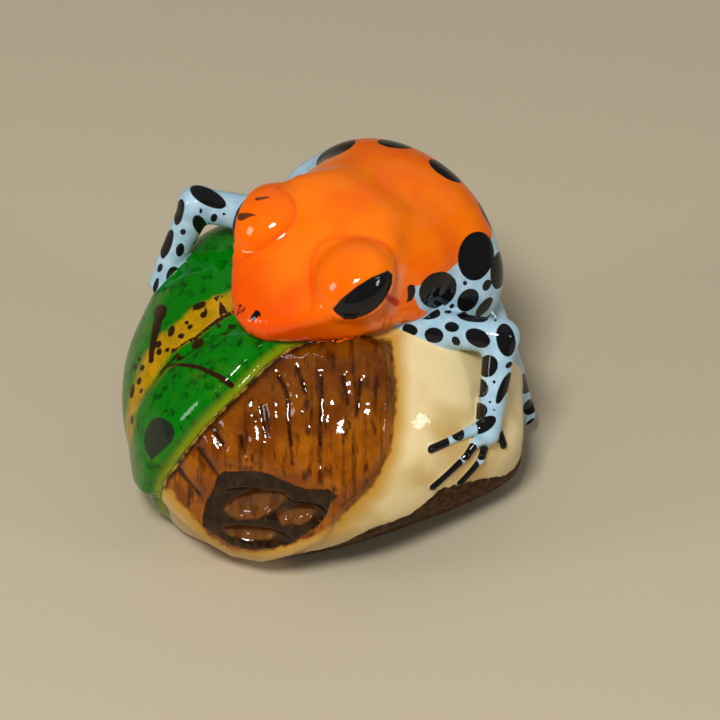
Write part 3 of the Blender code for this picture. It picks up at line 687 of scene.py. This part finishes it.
SCAR_BOWLS = [
    [(221, 507), (232, 497), (248, 491), (271, 489), (294, 492), (279, 506), (268, 514), (257, 519),
     (241, 519), (227, 514)],
    [(276, 513), (286, 506), (301, 504), (314, 506), (317, 511), (309, 521), (294, 528), (281, 523)],
    [(217, 527), (240, 525), (271, 527), (281, 532), (271, 539), (248, 540), (230, 536)],
]
# Each bowl's upper wall is in shade for this many pixels
BOWL_SHADE_PIXELS = 5.0

# The face: the eye's outline, the creases round the eye bulges, and the lip line
EYE_OUTLINE = [(332, 310), (340, 300), (357, 286), (372, 277), (389, 270), (394, 274), (394, 283), (390, 292),
               (384, 303), (376, 311), (366, 317), (354, 321), (344, 321), (336, 315)]
EYE_CREASES = [
    [(278, 187), (291, 197), (296, 210), (292, 222), (283, 233), (272, 240), (257, 251), (235, 262)],
    [(311, 311), (313, 306), (311, 291), (309, 268), (315, 246), (331, 237), (361, 236), (386, 243),
     (392, 252)],
]
LIP_LINE = [(300, 339), (346, 339), (386, 341), (398, 335), (406, 318)]
EYE_MARKS = [([(256, 199), (269, 197)], (0.25, 0.2)), ([(241, 217), (248, 215), (255, 215)], (0.9, 0.2))]
PINK_PATCHES = [([(402, 268), (397, 290), (390, 310)], (0.6, 1.6)), ([(368, 325), (380, 330)], (1.2, 1.2))]
RED_MARKS = [([(389, 298), (396, 303)], (0.7, 0.9)), ([(389, 146), (391, 146)], (0.4, 0.3))]

# The orange ends on the flanks at this height, at this place across, and rises to the left
FLANK_HEIGHT, FLANK_RIGHT, FLANK_SLOPE = 32.6, 17.0, 0.16
# Measured on the head: the eyes stay this far from its middle plane, and the redder dye starts here
EYE_FROM_MIDDLE, SNOUT_START_PAINT = 3.5, 9.0
# How far from a form its own paint may reach, in millimetres
PAINT_REACH = {"arm": 0.4, "toe": 0.35, "leg": 0.4, "rump": 1.2, "rump edge": 1.0, "face": 0.5, "head": 1.0}
# Widths of painted lines in millimetres, from their start to their end
GROOVE_WIDTHS, CREASE_WIDTHS = (0.6, 0.35), (0.1, 0.1)

# The nut's own dark skin is left below a line round it: compass angle from the right, then height
SKIN_EDGE = [(-180, 2.5), (-150, -1.0), (-105, 0.0), (-92, 5.4), (-81, 7.6), (-72, 10.2), (-58, 10.2),
             (-47, 12.6), (-31, 10.5), (-20, 7.8), (10, 6.5), (60, 5.0), (110, 6.0), (150, 4.0), (180, 2.5)]

# Where a pixel shows nothing, the nearest surface is looked for this far before and behind the middle
SEARCH_DEPTH, SEARCH_STEP = 35, 0.5

SPACING = 0.42
TRIANGLES = 195000
PULLS, PULLS_AFTER_SPLITTING, LAST_PULLS = 7, 2, 3
FIELD_LIMIT, SNOUT_LIMIT = 3.0, 12.0
# Faces that turn less than this away from the camera are split
FRONT_FACING = 0.1
# Painted spots: how far past its own half length a spot may be smeared, the steepest slope that lengthens
# it, and how far round it the distance is worked out
SPOT_REACH, LEAST_TILT, SPOT_MARGIN = 1.35, 0.42, 1.5
# Spots where the photograph shows nothing: surfaces that turn this far away, radii, the gap between spots,
# how far inside the blue they stay, and how many places are tried
SHOWN_FACING, HIDDEN_RADII, HIDDEN_GAP, HIDDEN_INSET, HIDDEN_DRAWS = 0.15, (0.35, 1.35), 0.45, 0.2, 4000
SEED = 7


def view_ray(pixel):
    """Unit direction from the camera through a pixel."""
    right = (pixel[0] - PHOTO_MIDDLE) * MM_PER_PIXEL
    up = (PHOTO_MIDDLE - pixel[1]) * MM_PER_PIXEL
    return unit(VIEW_MIDDLE + np.array((right, 0, 0)) + up * PLANE_UP - CAMERA_PLACE)


class Skin:
    """The carved mesh as arrays, with what the paint needs to know of each point."""

    def __init__(self, mesh):
        self.points = read_points(mesh)
        normals = np.empty(len(mesh.vertices) * 3)
        mesh.vertices.foreach_get("normal", normals)
        self.normals = normals.reshape(-1, 3)
        self.flat = in_photo(self.points)
        self.facing = self.normals @ -PLANE_BACK
        bm = bmesh.new()
        bm.from_mesh(mesh)
        self.tree = BVHTree.FromBMesh(bm)
        bm.free()
        self.find_parts()

    def find_parts(self):
        points = self.points
        skin = skin_under(points)
        self.nut = nut(points) - husk_height(skin) - leaf_height(skin)
        masses = [CHEST, RUMP, BELLY, *SHOULDERS, *HAUNCHES]
        self.body = np.minimum.reduce([mass.distance(points) for mass in masses])
        self.head = np.minimum(head(points), np.minimum(EYES[0].distance(points), EYES[1].distance(points)))
        limbs = [bone.distance(points) for bone in LIMBS]
        arm_bones = 2 * (len(ARM_RADII) - 1)
        self.arms = np.minimum.reduce(limbs[:arm_bones])
        self.legs = np.minimum.reduce(limbs[arm_bones:])
        self.fingers = np.minimum.reduce([bone.distance(points) for bone in FINGERS])
        self.limbs = np.minimum(np.minimum(self.arms, self.legs), self.fingers)
        self.frog = np.minimum(np.minimum(self.body, self.head), self.limbs) - self.nut

    def under_pixel(self, pixel):
        """The point and normal of the first surface that a pixel shows."""
        direction = view_ray(pixel)
        place, normal, _, _ = self.tree.ray_cast(Vector(CAMERA_PLACE), Vector(direction))
        if place is None:
            depths = np.arange(CAMERA_AWAY - SEARCH_DEPTH, CAMERA_AWAY + SEARCH_DEPTH, SEARCH_STEP)
            found = [self.tree.find_nearest(Vector(CAMERA_PLACE + direction * depth)) for depth in depths]
            place, normal, _, _ = min(found, key=lambda hit: hit[3])
        return np.array(place), np.array(normal)


def spot_field(skin, spots, part):
    """Distance in millimetres to painted spots, each laid on the surface that its pixel shows."""
    nearest = np.full(len(skin.points), FIELD_LIMIT)
    for spot in spots:
        place, normal = skin.under_pixel(spot[:2])
        tilt = max(abs(normal @ PLANE_BACK), LEAST_TILT)
        away = np.linalg.norm(skin.points - place, axis=1)
        radius = SPOT_REACH * spot[2] / 2 / tilt
        near = away < radius + SPOT_MARGIN
        field = np.maximum(blot(skin.flat[near], *spot), away[near] - radius)
        nearest[near] = np.minimum(nearest[near], field)
    return np.maximum(nearest, part)


def scattered_spots(skin, allowed, taken):
    """Round spots of mixed sizes over the places that the photograph doesn't show, clear of its own."""
    chance = np.random.default_rng(SEED)
    candidates = chance.permutation(np.flatnonzero(allowed))[:HIDDEN_DRAWS]
    nearest = np.full(len(skin.points), FIELD_LIMIT)
    kept = []
    for index in candidates:
        place = skin.points[index]
        radius = chance.uniform(*HIDDEN_RADII)
        if taken[index] < radius + HIDDEN_GAP:
            continue
        if any(np.linalg.norm(place - other) < radius + size + HIDDEN_GAP for other, size in kept):
            continue
        kept.append((place, radius))
    for place, radius in kept:
        away = np.linalg.norm(skin.points - place, axis=1) - radius
        nearest = np.minimum(nearest, away)
    return nearest


def round_spots(skin, spots, part):
    """Distance in millimetres to round spots that keep their shape where the surface turns away."""
    nearest = np.full(len(skin.points), FIELD_LIMIT)
    for pixel, radius in spots:
        place, _ = skin.under_pixel(pixel)
        nearest = np.minimum(nearest, np.linalg.norm(skin.points - place, axis=1) - radius)
    return np.maximum(nearest, part)


def rounded(line, rounds=2):
    """An open line with its corners cut off, so that it reads as one curve."""
    line = np.asarray(line, float)
    for _ in range(rounds):
        near = 0.75 * line[:-1] + 0.25 * line[1:]
        far = 0.25 * line[:-1] + 0.75 * line[1:]
        cut = np.stack([near, far], axis=1).reshape(-1, 2)
        line = np.vstack([line[:1], cut, line[-1:]])
    return line


def inside_both(*fields):
    return np.maximum.reduce(fields)


def inside_any(*fields):
    return np.minimum.reduce(fields)


def leaf_field(skin):
    """Distance to the leaf's edge, negative inside it."""
    flat = seen(skin.points)
    ahead_of_back = LEAF_BACK_AWAY - skin.points[:, :2] @ LEAF_BACK_NORMAL
    above_foot = skin.points[:, 2] - LEAF_BOTTOM
    return -np.minimum(np.minimum(-line_distance(flat, LEAF_EDGE), ahead_of_back), above_foot)


def skin_field(points):
    """Distance to the edge of the nut's own dark skin, negative below it."""
    angles = np.degrees(np.arctan2(points[:, 1] - NUT_CENTRE[1], points[:, 0] - NUT_CENTRE[0]))
    edge_angles, heights = np.array(SKIN_EDGE).T
    return points[:, 2] - np.interp(angles, edge_angles, heights)


def paint(skin):
    """Every painted field by name, in millimetres, negative inside."""
    flat, front = skin.flat, -skin.facing
    frog = skin.frog
    leaf = leaf_field(skin)
    husk = inside_both(outline_distance(seen(skin.points), HUSK_OUTLINE), patch(flat, HUSK_PAINT_OUTLINE),
                       skin.points[:, 1], -leaf)
    scar = patch(flat, SCAR_OUTLINE)
    bowls = inside_any(*[patch(flat, bowl) for bowl in SCAR_BOWLS])
    # Each bowl moved down: the rest of the bowl, its upper wall, is painted in shade
    floors = inside_any(*[patch(flat - (0, BOWL_SHADE_PIXELS), bowl) for bowl in SCAR_BOWLS])
    limbs = skin.limbs - np.minimum(skin.body, skin.head)
    flank = skin.points[:, 2] - FLANK_HEIGHT + FLANK_SLOPE * (skin.points[:, 0] - FLANK_RIGHT)
    blue = inside_any(limbs, inside_both(flank, skin.body - skin.head))
    reach = PAINT_REACH
    near_rump = inside_both(skin.body - reach["rump"], frog, skin.body - skin.arms - reach["arm"])
    black = inside_any(
        spot_field(skin, LEFT_ARM_SPOTS + RIGHT_ARM_SPOTS, inside_both(skin.arms - reach["arm"], frog)),
        spot_field(skin, FINGER_SPOTS, skin.fingers - reach["toe"]),
        spot_field(skin, HIND_LEG_SPOTS, skin.legs - reach["leg"]),
        spot_field(skin, RUMP_SPOTS, near_rump),
        round_spots(skin, RUMP_EDGE_SPOTS, inside_both(skin.body - reach["rump edge"], frog)),
    )
    hidden = (blue < -HIDDEN_INSET) & (frog < -HIDDEN_INSET) & (skin.facing <= SHOWN_FACING)
    black = inside_any(black, scattered_spots(skin, hidden, black))
    nostrils = round_spots(skin, NOSTRILS, skin.head - reach["face"])
    eye = eye_field(skin)
    brown = inside_any(*[blot(flat, *spot) for spot in LEAF_SPOTS],
                       *[stroke(flat, rounded(line), widths) for line, widths in LEAF_VEINS])
    brown = inside_both(brown, leaf + 0.1, front)
    drop = inside_both(patch(flat, DROP_OUTLINE), leaf, front)
    band = inside_both(patch(flat, BAND_OUTLINE), leaf, front)
    grooves = inside_any(*[stroke(flat, rounded(line), GROOVE_WIDTHS) for line in HUSK_GROOVES])
    creases = inside_any(*[stroke(flat, rounded(line), CREASE_WIDTHS) for line in (*EYE_CREASES, LIP_LINE)])
    marks, pink, red = (inside_any(*[stroke(flat, line, widths) for line, widths in strokes])
                        for strokes in (EYE_MARKS, PINK_PATCHES, RED_MARKS))
    on_head = inside_both(skin.head - reach["head"], front)
    return {
        "frog": frog, "blue": blue, "black": inside_any(black, nostrils), "eye": eye,
        "leaf": leaf, "husk": husk, "scar": inside_both(scar, front), "bowls": bowls,
        "bowl_floors": floors, "band": band, "brown": brown, "drop": drop,
        "grooves": inside_both(grooves, husk),
        "bark": skin_field(skin.points), "creases": np.where(on_head < 0, creases, FIELD_LIMIT),
        "marks": inside_both(marks, on_head), "pink": np.where(front < 0, pink, FIELD_LIMIT),
        "red": np.where(front < 0, red, FIELD_LIMIT), "snout": snout_field(skin),
    }


def mirrored(points):
    """Points reflected in the head's middle plane."""
    local = (points - HEAD_TOP) @ HEAD_AXES.T
    local[:, 1] *= -1
    return HEAD_TOP + local @ HEAD_AXES


def eye_field(skin):
    """Distance to the black almond of either eye."""
    aside = ((skin.points - HEAD_TOP) @ HEAD_AXES.T)[:, 1]
    both = [inside_both(patch(in_photo(points), EYE_OUTLINE), EYE_FROM_MIDDLE - side * aside)
            for points, side in ((skin.points, 1), (mirrored(skin.points), -1))]
    return inside_both(inside_any(*both), skin.head - PAINT_REACH["face"])


def snout_field(skin):
    """How far behind the nose a point is, for the redder dye there."""
    ahead = ((skin.points - HEAD_TOP) @ HEAD_AXES.T)[:, 0]
    return np.clip(SNOUT_START_PAINT - ahead, -FIELD_LIMIT, SNOUT_LIMIT)


def keep_fields(mesh, fields):
    for name, field in fields.items():
        layer = mesh.attributes.new(name, "FLOAT", "POINT")
        limit = SNOUT_LIMIT if name == "snout" else FIELD_LIMIT
        layer.data.foreach_set("value", np.clip(field, -FIELD_LIMIT, limit).astype(np.float32))


def lump(points, size):
    """Smooth unevenness from -1 to 1, about that many millimetres across."""
    return np.array([noise.noise(Vector(point / size)) for point in points])


def trench(field, width):
    """A rounded groove: one at the line, nought that far away."""
    return np.exp(-np.square(np.maximum(field, 0) / width))


# Fine relief in millimetres. Lumps are a height and a size
GROOVE_DEPTH, GROOVE_WIDTH, GROOVE_DIP, GROOVE_DIP_WIDTH = 0.22, 0.25, 0.14, 0.9
CREASE_DEPTH, CREASE_WIDTH = 0.11, 0.7
BOWL_DEPTH, BOWL_STEP_WIDTH, BOWL_FADE = 0.5, 0.9, 0.4
EYE_RIM_DEPTH, EYE_RIM_INSET, EYE_RIM_WIDTH, EYE_RIM_REACH = 0.35, 0.25, 0.3, 0.6
HUSK_LUMPS, HUSK_LUMPS_FADE = [(0.22, 2.2), (0.05, 0.8)], 1.0
SCAR_LUMPS, SCAR_LUMPS_FADE, SCAR_FADE, SCAR_GRAIN = (0.07, 0.9), 0.5, 0.6, (0.5, 0.5, 2.0)
WAVES = (0.05, 5.0)
FOOT_FADE = 0.5


def fine_relief(skin, fields):
    """Height in millimetres that the finest carving adds along each point's normal."""
    grooves = fields["grooves"]
    height = -GROOVE_DEPTH * trench(grooves, GROOVE_WIDTH) - GROOVE_DIP * trench(grooves, GROOVE_DIP_WIDTH)
    height -= CREASE_DEPTH * trench(fields["creases"], CREASE_WIDTH)
    height -= BOWL_DEPTH * ramp(-fields["bowls"], BOWL_STEP_WIDTH) * (fields["scar"] < 0)
    rim = trench(fields["eye"] + EYE_RIM_INSET, EYE_RIM_WIDTH) * (fields["eye"] > -EYE_RIM_REACH)
    height -= EYE_RIM_DEPTH * rim
    husk = ramp(-fields["husk"], HUSK_LUMPS_FADE) * ramp(fields["scar"], SCAR_FADE)
    height += husk * sum(depth * lump(skin.points, size) for depth, size in HUSK_LUMPS)
    scar = ramp(-fields["scar"], SCAR_LUMPS_FADE) * ramp(fields["bowls"], BOWL_FADE)
    height += scar * SCAR_LUMPS[0] * lump(skin.points * SCAR_GRAIN, SCAR_LUMPS[1])
    height += WAVES[0] * lump(skin.points, WAVES[1])
    return height


def split_front(mesh):
    """Splits the faces that the photograph shows into four, for finer carving there."""
    bm = bmesh.new()
    bm.from_mesh(mesh)
    bm.normal_update()
    back = Vector(PLANE_BACK)
    front = [face for face in bm.faces if face.normal.dot(back) < FRONT_FACING]
    edges = list({edge for face in front for edge in face.edges})
    bmesh.ops.subdivide_edges(bm, edges=edges, cuts=1, use_grid_fill=True)
    bmesh.ops.triangulate(bm, faces=bm.faces)
    bm.to_mesh(mesh)
    bm.free()


def thinned(mesh, triangles):
    """The mesh brought under that many triangles."""
    faces = sum(len(face.vertices) - 2 for face in mesh.polygons)
    thing = bpy.data.objects.new("thin", mesh)
    bpy.context.scene.collection.objects.link(thing)
    thin = thing.modifiers.new("thin", "DECIMATE")
    thin.ratio = min(1.0, triangles / faces)
    result = evaluated_mesh(thing)
    bpy.data.objects.remove(thing)
    return result


def carve():
    """The carved and painted piece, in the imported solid's place."""
    mesh = blank_mesh(SPACING)
    pull_onto(mesh, carving, PULLS)
    split_front(mesh)
    pull_onto(mesh, carving, PULLS_AFTER_SPLITTING)
    cut_foot(mesh)
    mesh = thinned(mesh, TRIANGLES)
    skin = Skin(mesh)
    fields = paint(skin)
    above_foot = ramp(skin.points[:, 2], FOOT_FADE)
    move_points(mesh, skin.points + skin.normals * (fine_relief(skin, fields) * above_foot)[:, None])
    keep_fields(mesh, fields)
    piece = bpy.data.objects.new("painted_frog_carving", mesh)
    bpy.context.scene.collection.objects.link(piece)
    return piece


def fit_to_solid(piece):
    """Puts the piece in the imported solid's box and returns what takes raw millimetres there."""
    low, high = (np.array(corner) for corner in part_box("frog_carving"))
    points = read_points(piece.data)
    middle = (points.min(0) + points.max(0)) / 2
    size = points.max(0) - points.min(0)
    scale = min(MM, ((high - low) / size).min())
    move = Matrix.Translation(((low[0] + high[0]) / 2, (low[1] + high[1]) / 2, low[2]))
    place = move @ Matrix.Scale(scale, 4) @ Matrix.Translation((-middle[0], -middle[1], -points[:, 2].min()))
    piece.data.transform(place)
    piece.data.update()
    return place


GRAIN_ROUGHNESS = 0.55


class Shader:
    """A few short ways to build a node material."""

    def __init__(self, name):
        self.material = bpy.data.materials.new(name)
        self.material.use_nodes = True
        self.tree = self.material.node_tree
        self.surface = self.tree.nodes["Principled BSDF"]
        self.coordinates = self.tree.nodes.new("ShaderNodeTexCoord").outputs["Object"]
        self.height = self.node("ShaderNodeSeparateXYZ", {"Vector": self.coordinates}).outputs["Z"]

    def node(self, kind, inputs=None, **settings):
        made = self.tree.nodes.new(kind)
        for name, value in settings.items():
            setattr(made, name, value)
        for name, value in (inputs or {}).items():
            if isinstance(value, bpy.types.NodeSocket):
                self.tree.links.new(value, made.inputs[name])
            else:
                made.inputs[name].default_value = value
        return made

    def field(self, name):
        return self.node("ShaderNodeAttribute", attribute_name=name).outputs["Fac"]

    def math(self, operation, first, second=0.0):
        return self.node("ShaderNodeMath", {0: first, 1: second}, operation=operation).outputs[0]

    def grain(self, size_mm, detail, stretch=(1, 1, 1)):
        """Noise from nought to one with features about that many millimetres across."""
        squeezed = self.node("ShaderNodeVectorMath", {0: self.coordinates, 1: stretch}, operation="MULTIPLY")
        inputs = {"Vector": squeezed.outputs[0], "Scale": 1 / (size_mm * MM), "Detail": detail,
                  "Roughness": GRAIN_ROUGHNESS}
        return self.node("ShaderNodeTexNoise", inputs).outputs["Fac"]

    def ramped(self, value, low, high, to_low=0.0, to_high=1.0):
        inputs = {"Value": value, "From Min": low, "From Max": high, "To Min": to_low, "To Max": to_high}
        return self.node("ShaderNodeMapRange", inputs, interpolation_type="SMOOTHSTEP").outputs["Result"]

    def inside(self, name, soft, wobble=None, amount=0.0):
        """One inside a painted field and nought outside it, its edge softened and shifted in millimetres."""
        edge = self.field(name)
        if wobble is not None:
            shift = self.math("MULTIPLY", self.math("SUBTRACT", wobble, 0.5), 2 * amount)
            edge = self.math("ADD", edge, shift)
        return self.ramped(edge, -soft, soft, 1.0, 0.0)

    def mix(self, share, first, second):
        """One colour turning into another by a share."""
        made = self.node("ShaderNodeMix", data_type="RGBA")
        for socket, value in ((0, share), (6, first), (7, second)):
            if isinstance(value, bpy.types.NodeSocket):
                self.tree.links.new(value, made.inputs[socket])
            elif socket == 0:
                made.inputs[0].default_value = value
            else:
                made.inputs[socket].default_value = (*value, 1.0)
        return made.outputs[2]

    def layered(self, colour, *layers):
        """A colour with others laid over it, each by its share."""
        for share, over in layers:
            colour = self.mix(share, colour, over)
        return colour


ORANGE, YELLOW_ORANGE, RED_ORANGE = (0.93, 0.130, 0.0005), (0.98, 0.185, 0.0005), (0.78, 0.055, 0.0005)
PALE_BLUE, BLUE_SHADE = (0.46, 0.64, 0.76), (0.32, 0.52, 0.63)
BLACK = (0.006, 0.006, 0.007)
IVORY, TAN, STAIN, DULL_TAN_AND_SHADE = (0.86, 0.69, 0.36), (0.62, 0.41, 0.14), (0.55, 0.27, 0.015), (0.30, 0.21, 0.09)
BARK, BARK_LIGHT = (0.036, 0.016, 0.006), (0.10, 0.048, 0.019)
GREEN, DARK_GREEN, LEAF_YELLOW, LEAF_RIM = ((0.001, 0.165, 0.001), (0.001, 0.055, 0.001), (0.12, 0.18, 0.001),
                                            (0.22, 0.25, 0.003))
GOLD, DULL_GOLD = (0.52, 0.26, 0.0005), (0.34, 0.20, 0.001)
LEAF_BROWN = (0.024, 0.009, 0.002)
HUSK_BROWN, HUSK_GOLD, HUSK_DARK = (0.20, 0.044, 0.001), (0.40, 0.112, 0.002), (0.026, 0.006, 0.001)
SCAR_BROWN, SCAR_LIGHT = (0.014, 0.005, 0.001), (0.042, 0.018, 0.005)
BOWL_BROWN, BOWL_DARK = (0.17, 0.060, 0.012), (0.05, 0.014, 0.002)
PINK, RED, MARK_BROWN = (0.85, 0.25, 0.11), (0.55, 0.025, 0.003), (0.12, 0.03, 0.006)
DROP_BLACK = (0.015, 0.022, 0.013)
# Heights between which painted shade darkens the husk's top and the ivory's foot, where the ivory is also a
# duller tan
HUSK_SHADE_HEIGHTS = (20.0 * MM, 28.0 * MM)
IVORY_SHADE_HEIGHTS = (3.0 * MM, 13.0 * MM)


def frog_colour(shader):
    broad = shader.grain(7.0, 2.0)
    fine = shader.grain(1.4, 4.0)
    orange = shader.layered(
        ORANGE,
        (shader.ramped(broad, 0.35, 0.65), YELLOW_ORANGE),
        (shader.ramped(shader.field("snout"), 0.0, 6.0, 0.65, 0.0), RED_ORANGE),
        (shader.inside("creases", 0.55, fine, 0.2), RED_ORANGE),
        (shader.math("MULTIPLY", shader.inside("pink", 0.5, fine, 0.3), 0.7), PINK),
        (shader.inside("red", 0.2, fine, 0.2), RED),
        (shader.inside("marks", 0.08, fine, 0.15), MARK_BROWN),
    )
    blue = shader.mix(shader.ramped(fine, 0.3, 0.7), PALE_BLUE, BLUE_SHADE)
    return shader.layered(
        orange,
        (shader.inside("blue", 0.08, fine, 0.12), blue),
        (shader.inside("black", 0.05, fine, 0.1), BLACK),
        (shader.inside("eye", 0.05, fine, 0.05), BLACK),
    )


def leaf_colour(shader):
    broad = shader.grain(5.0, 3.0)
    mottle = shader.grain(1.2, 5.0)
    gold = shader.mix(shader.ramped(mottle, 0.3, 0.7), GOLD, DULL_GOLD)
    inward = shader.field("leaf")
    return shader.layered(
        DARK_GREEN,
        (shader.ramped(mottle, 0.3, 0.5), GREEN),
        (shader.ramped(broad, 0.55, 0.8, 0.0, 0.6), LEAF_YELLOW),
        (shader.ramped(inward, -1.5, -0.5, 0.0, 0.75), LEAF_RIM),
        # A dark outline along the leaf's edge, partly painted shade of the gap under it
        (shader.ramped(inward, -0.25, 0.0), LEAF_BROWN),
        (shader.inside("band", 0.35, mottle, 0.5), gold),
        (shader.inside("brown", 0.06, mottle, 0.12), LEAF_BROWN),
        (shader.inside("drop", 0.1, mottle, 0.15), DROP_BLACK),
    )


def husk_colour(shader):
    broad = shader.grain(4.0, 4.0)
    fibres = shader.grain(0.9, 6.0, stretch=(1.0, 0.35, 0.35))
    streaks = shader.grain(0.75, 5.0, stretch=(1.0, 0.1, 0.1))
    bowl = shader.mix(shader.ramped(fibres, 0.45, 0.7, 0.0, 0.7), BOWL_BROWN, BOWL_DARK)
    # The bowl's upper wall, outside its floor, is painted in shade
    bowl = shader.mix(shader.inside("bowl_floors", 0.35, fibres, 0.2), BOWL_DARK, bowl)
    dark = shader.mix(shader.ramped(fibres, 0.4, 0.7), SCAR_BROWN, SCAR_LIGHT)
    dark = shader.mix(shader.inside("bowls", 0.2, fibres, 0.2), dark, bowl)
    return shader.layered(
        HUSK_BROWN,
        (shader.ramped(broad, 0.35, 0.7), HUSK_GOLD),
        (shader.ramped(fibres, 0.52, 0.68, 0.0, 0.8), HUSK_DARK),
        (shader.ramped(streaks, 0.54, 0.66, 0.0, 0.55), HUSK_DARK),
        # Painted shade over the husk's top
        (shader.ramped(shader.height, *HUSK_SHADE_HEIGHTS, 0.0, 0.55), HUSK_DARK),
        (shader.inside("grooves", 0.18, fibres, 0.25), HUSK_DARK),
        (shader.inside("scar", 0.1, fibres, 0.2), dark),
        # Painted shadow on the husk just outside the leaf's raised edge
        (shader.ramped(shader.field("leaf"), 0.2, 0.9, 1.0, 0.0), HUSK_DARK),
    )


def nut_colour(shader):
    broad = shader.grain(9.0, 2.0)
    fine = shader.grain(0.8, 5.0)
    wobble = shader.grain(1.0, 3.0)
    bark = shader.mix(shader.ramped(fine, 0.4, 0.65), BARK, BARK_LIGHT)
    return shader.layered(
        IVORY,
        (shader.ramped(broad, 0.4, 0.7), TAN),
        # Painted shade and a duller tan towards the ivory's foot
        (shader.ramped(shader.height, *IVORY_SHADE_HEIGHTS, 0.6, 0.0), DULL_TAN_AND_SHADE),
        (shader.ramped(shader.field("husk"), 0.0, 2.2, 0.9, 0.0), STAIN),
        (shader.inside("bark", 0.12, fine, 0.5), bark),
        (shader.inside("husk", 0.3, wobble, 0.5), husk_colour(shader)),
        (shader.inside("leaf", 0.08, wobble, 0.15), leaf_colour(shader)),
    )


VARNISH = {
    "Specular IOR Level": 0.0,
    "Subsurface Weight": 0.08,
    "Subsurface Radius": (1.0, 0.5, 0.25),
    "Subsurface Scale": 0.9 * MM,
    "Coat Roughness": 0.06,
    "Coat IOR": 1.45,
}
BUMP_STRENGTH, BUMP_DEPTH = 0.25, 0.12 * MM


def varnished_paint():
    """Paint and dye on tagua under a thick glossy varnish."""
    shader = Shader("varnished_tagua")
    surface = shader.surface
    colour = shader.mix(shader.inside("frog", 0.08), nut_colour(shader), frog_colour(shader))
    shader.tree.links.new(colour, surface.inputs["Base Color"])
    rough = shader.ramped(shader.grain(1.5, 4.0), 0.3, 0.7, 0.28, 0.5)
    shader.tree.links.new(rough, surface.inputs["Roughness"])
    gloss = shader.ramped(shader.field("bark"), -0.2, 0.2, 0.1, 0.7)
    shader.tree.links.new(gloss, surface.inputs["Coat Weight"])
    for socket, value in VARNISH.items():
        surface.inputs[socket].default_value = value
    waves = shader.grain(1.1, 3.0)
    bump = shader.node("ShaderNodeBump", {"Strength": BUMP_STRENGTH, "Distance": BUMP_DEPTH, "Height": waves})
    shader.tree.links.new(bump.outputs["Normal"], surface.inputs["Normal"])
    shader.tree.links.new(bump.outputs["Normal"], surface.inputs["Coat Normal"])
    return shader.material


FLOOR_SIZE, FLOOR_COLOUR, FLOOR_ROUGHNESS = 6.0, (0.53, 0.45, 0.31), 0.85
ROOM_LIGHT, ROOM_STRENGTH = (1.0, 0.97, 0.92), 0.115
# Name, place and size in metres, and watts
SOFTBOXES = [
    ("key_softbox", (-0.06, -0.28, 0.42), (0.09, 0.08), 1.9),
    ("left_softbox", (-0.46, -0.16, 0.24), (0.12, 0.14), 0.5),
    ("right_softbox", (0.46, -0.22, 0.24), (0.09, 0.09), 0.4),
    ("top_softbox", (0.05, 0.20, 0.50), (1.0, 1.0), 0.5),
]


def floor():
    bpy.ops.mesh.primitive_plane_add(size=FLOOR_SIZE, location=(0, 0, 0))
    plane = bpy.context.object
    plane.name = "studio_floor"
    material = bpy.data.materials.new("pale_floor")
    material.use_nodes = True
    surface = material.node_tree.nodes["Principled BSDF"]
    surface.inputs["Base Color"].default_value = (*FLOOR_COLOUR, 1)
    surface.inputs["Roughness"].default_value = FLOOR_ROUGHNESS
    plane.data.materials.append(material)


def softbox(name, place, aim, size, watts):
    light = bpy.data.lights.new(name, "AREA")
    light.shape = "RECTANGLE"
    light.size, light.size_y = size
    light.energy = watts
    thing = bpy.data.objects.new(name, light)
    thing.location = place
    thing.rotation_euler = (Vector(place) - Vector(aim)).to_track_quat("Z", "Y").to_euler()
    bpy.context.scene.collection.objects.link(thing)


def studio(place):
    """The camera at the photograph's angle, and plain soft lights."""
    aim = place @ Vector(VIEW_MIDDLE)
    camera = bpy.data.cameras.new("camera")
    camera.lens = LENS_MM
    camera.sensor_width = SENSOR_MM
    camera.clip_start = CLIP_START
    thing = bpy.data.objects.new("camera", camera)
    thing.location = place @ Vector(CAMERA_PLACE)
    thing.rotation_euler = (thing.location - aim).to_track_quat("Z", "Y").to_euler()
    bpy.context.scene.collection.objects.link(thing)
    bpy.context.scene.camera = thing
    for name, spot, size, watts in SOFTBOXES:
        softbox(name, spot, aim, size, watts)
    world = bpy.data.worlds.new("studio")
    world.use_nodes = True
    world.node_tree.nodes["Background"].inputs["Color"].default_value = (*ROOM_LIGHT, 1)
    world.node_tree.nodes["Background"].inputs["Strength"].default_value = ROOM_STRENGTH
    bpy.context.scene.world = world
    bpy.context.scene.view_settings.view_transform = "Standard"


floor()
carved = carve()
raw_to_frame = fit_to_solid(carved)
carved.data.materials.clear()
carved.data.materials.append(varnished_paint())
carved.data.shade_smooth()
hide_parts("frog_carving")
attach(carved, "root")
studio(raw_to_frame)
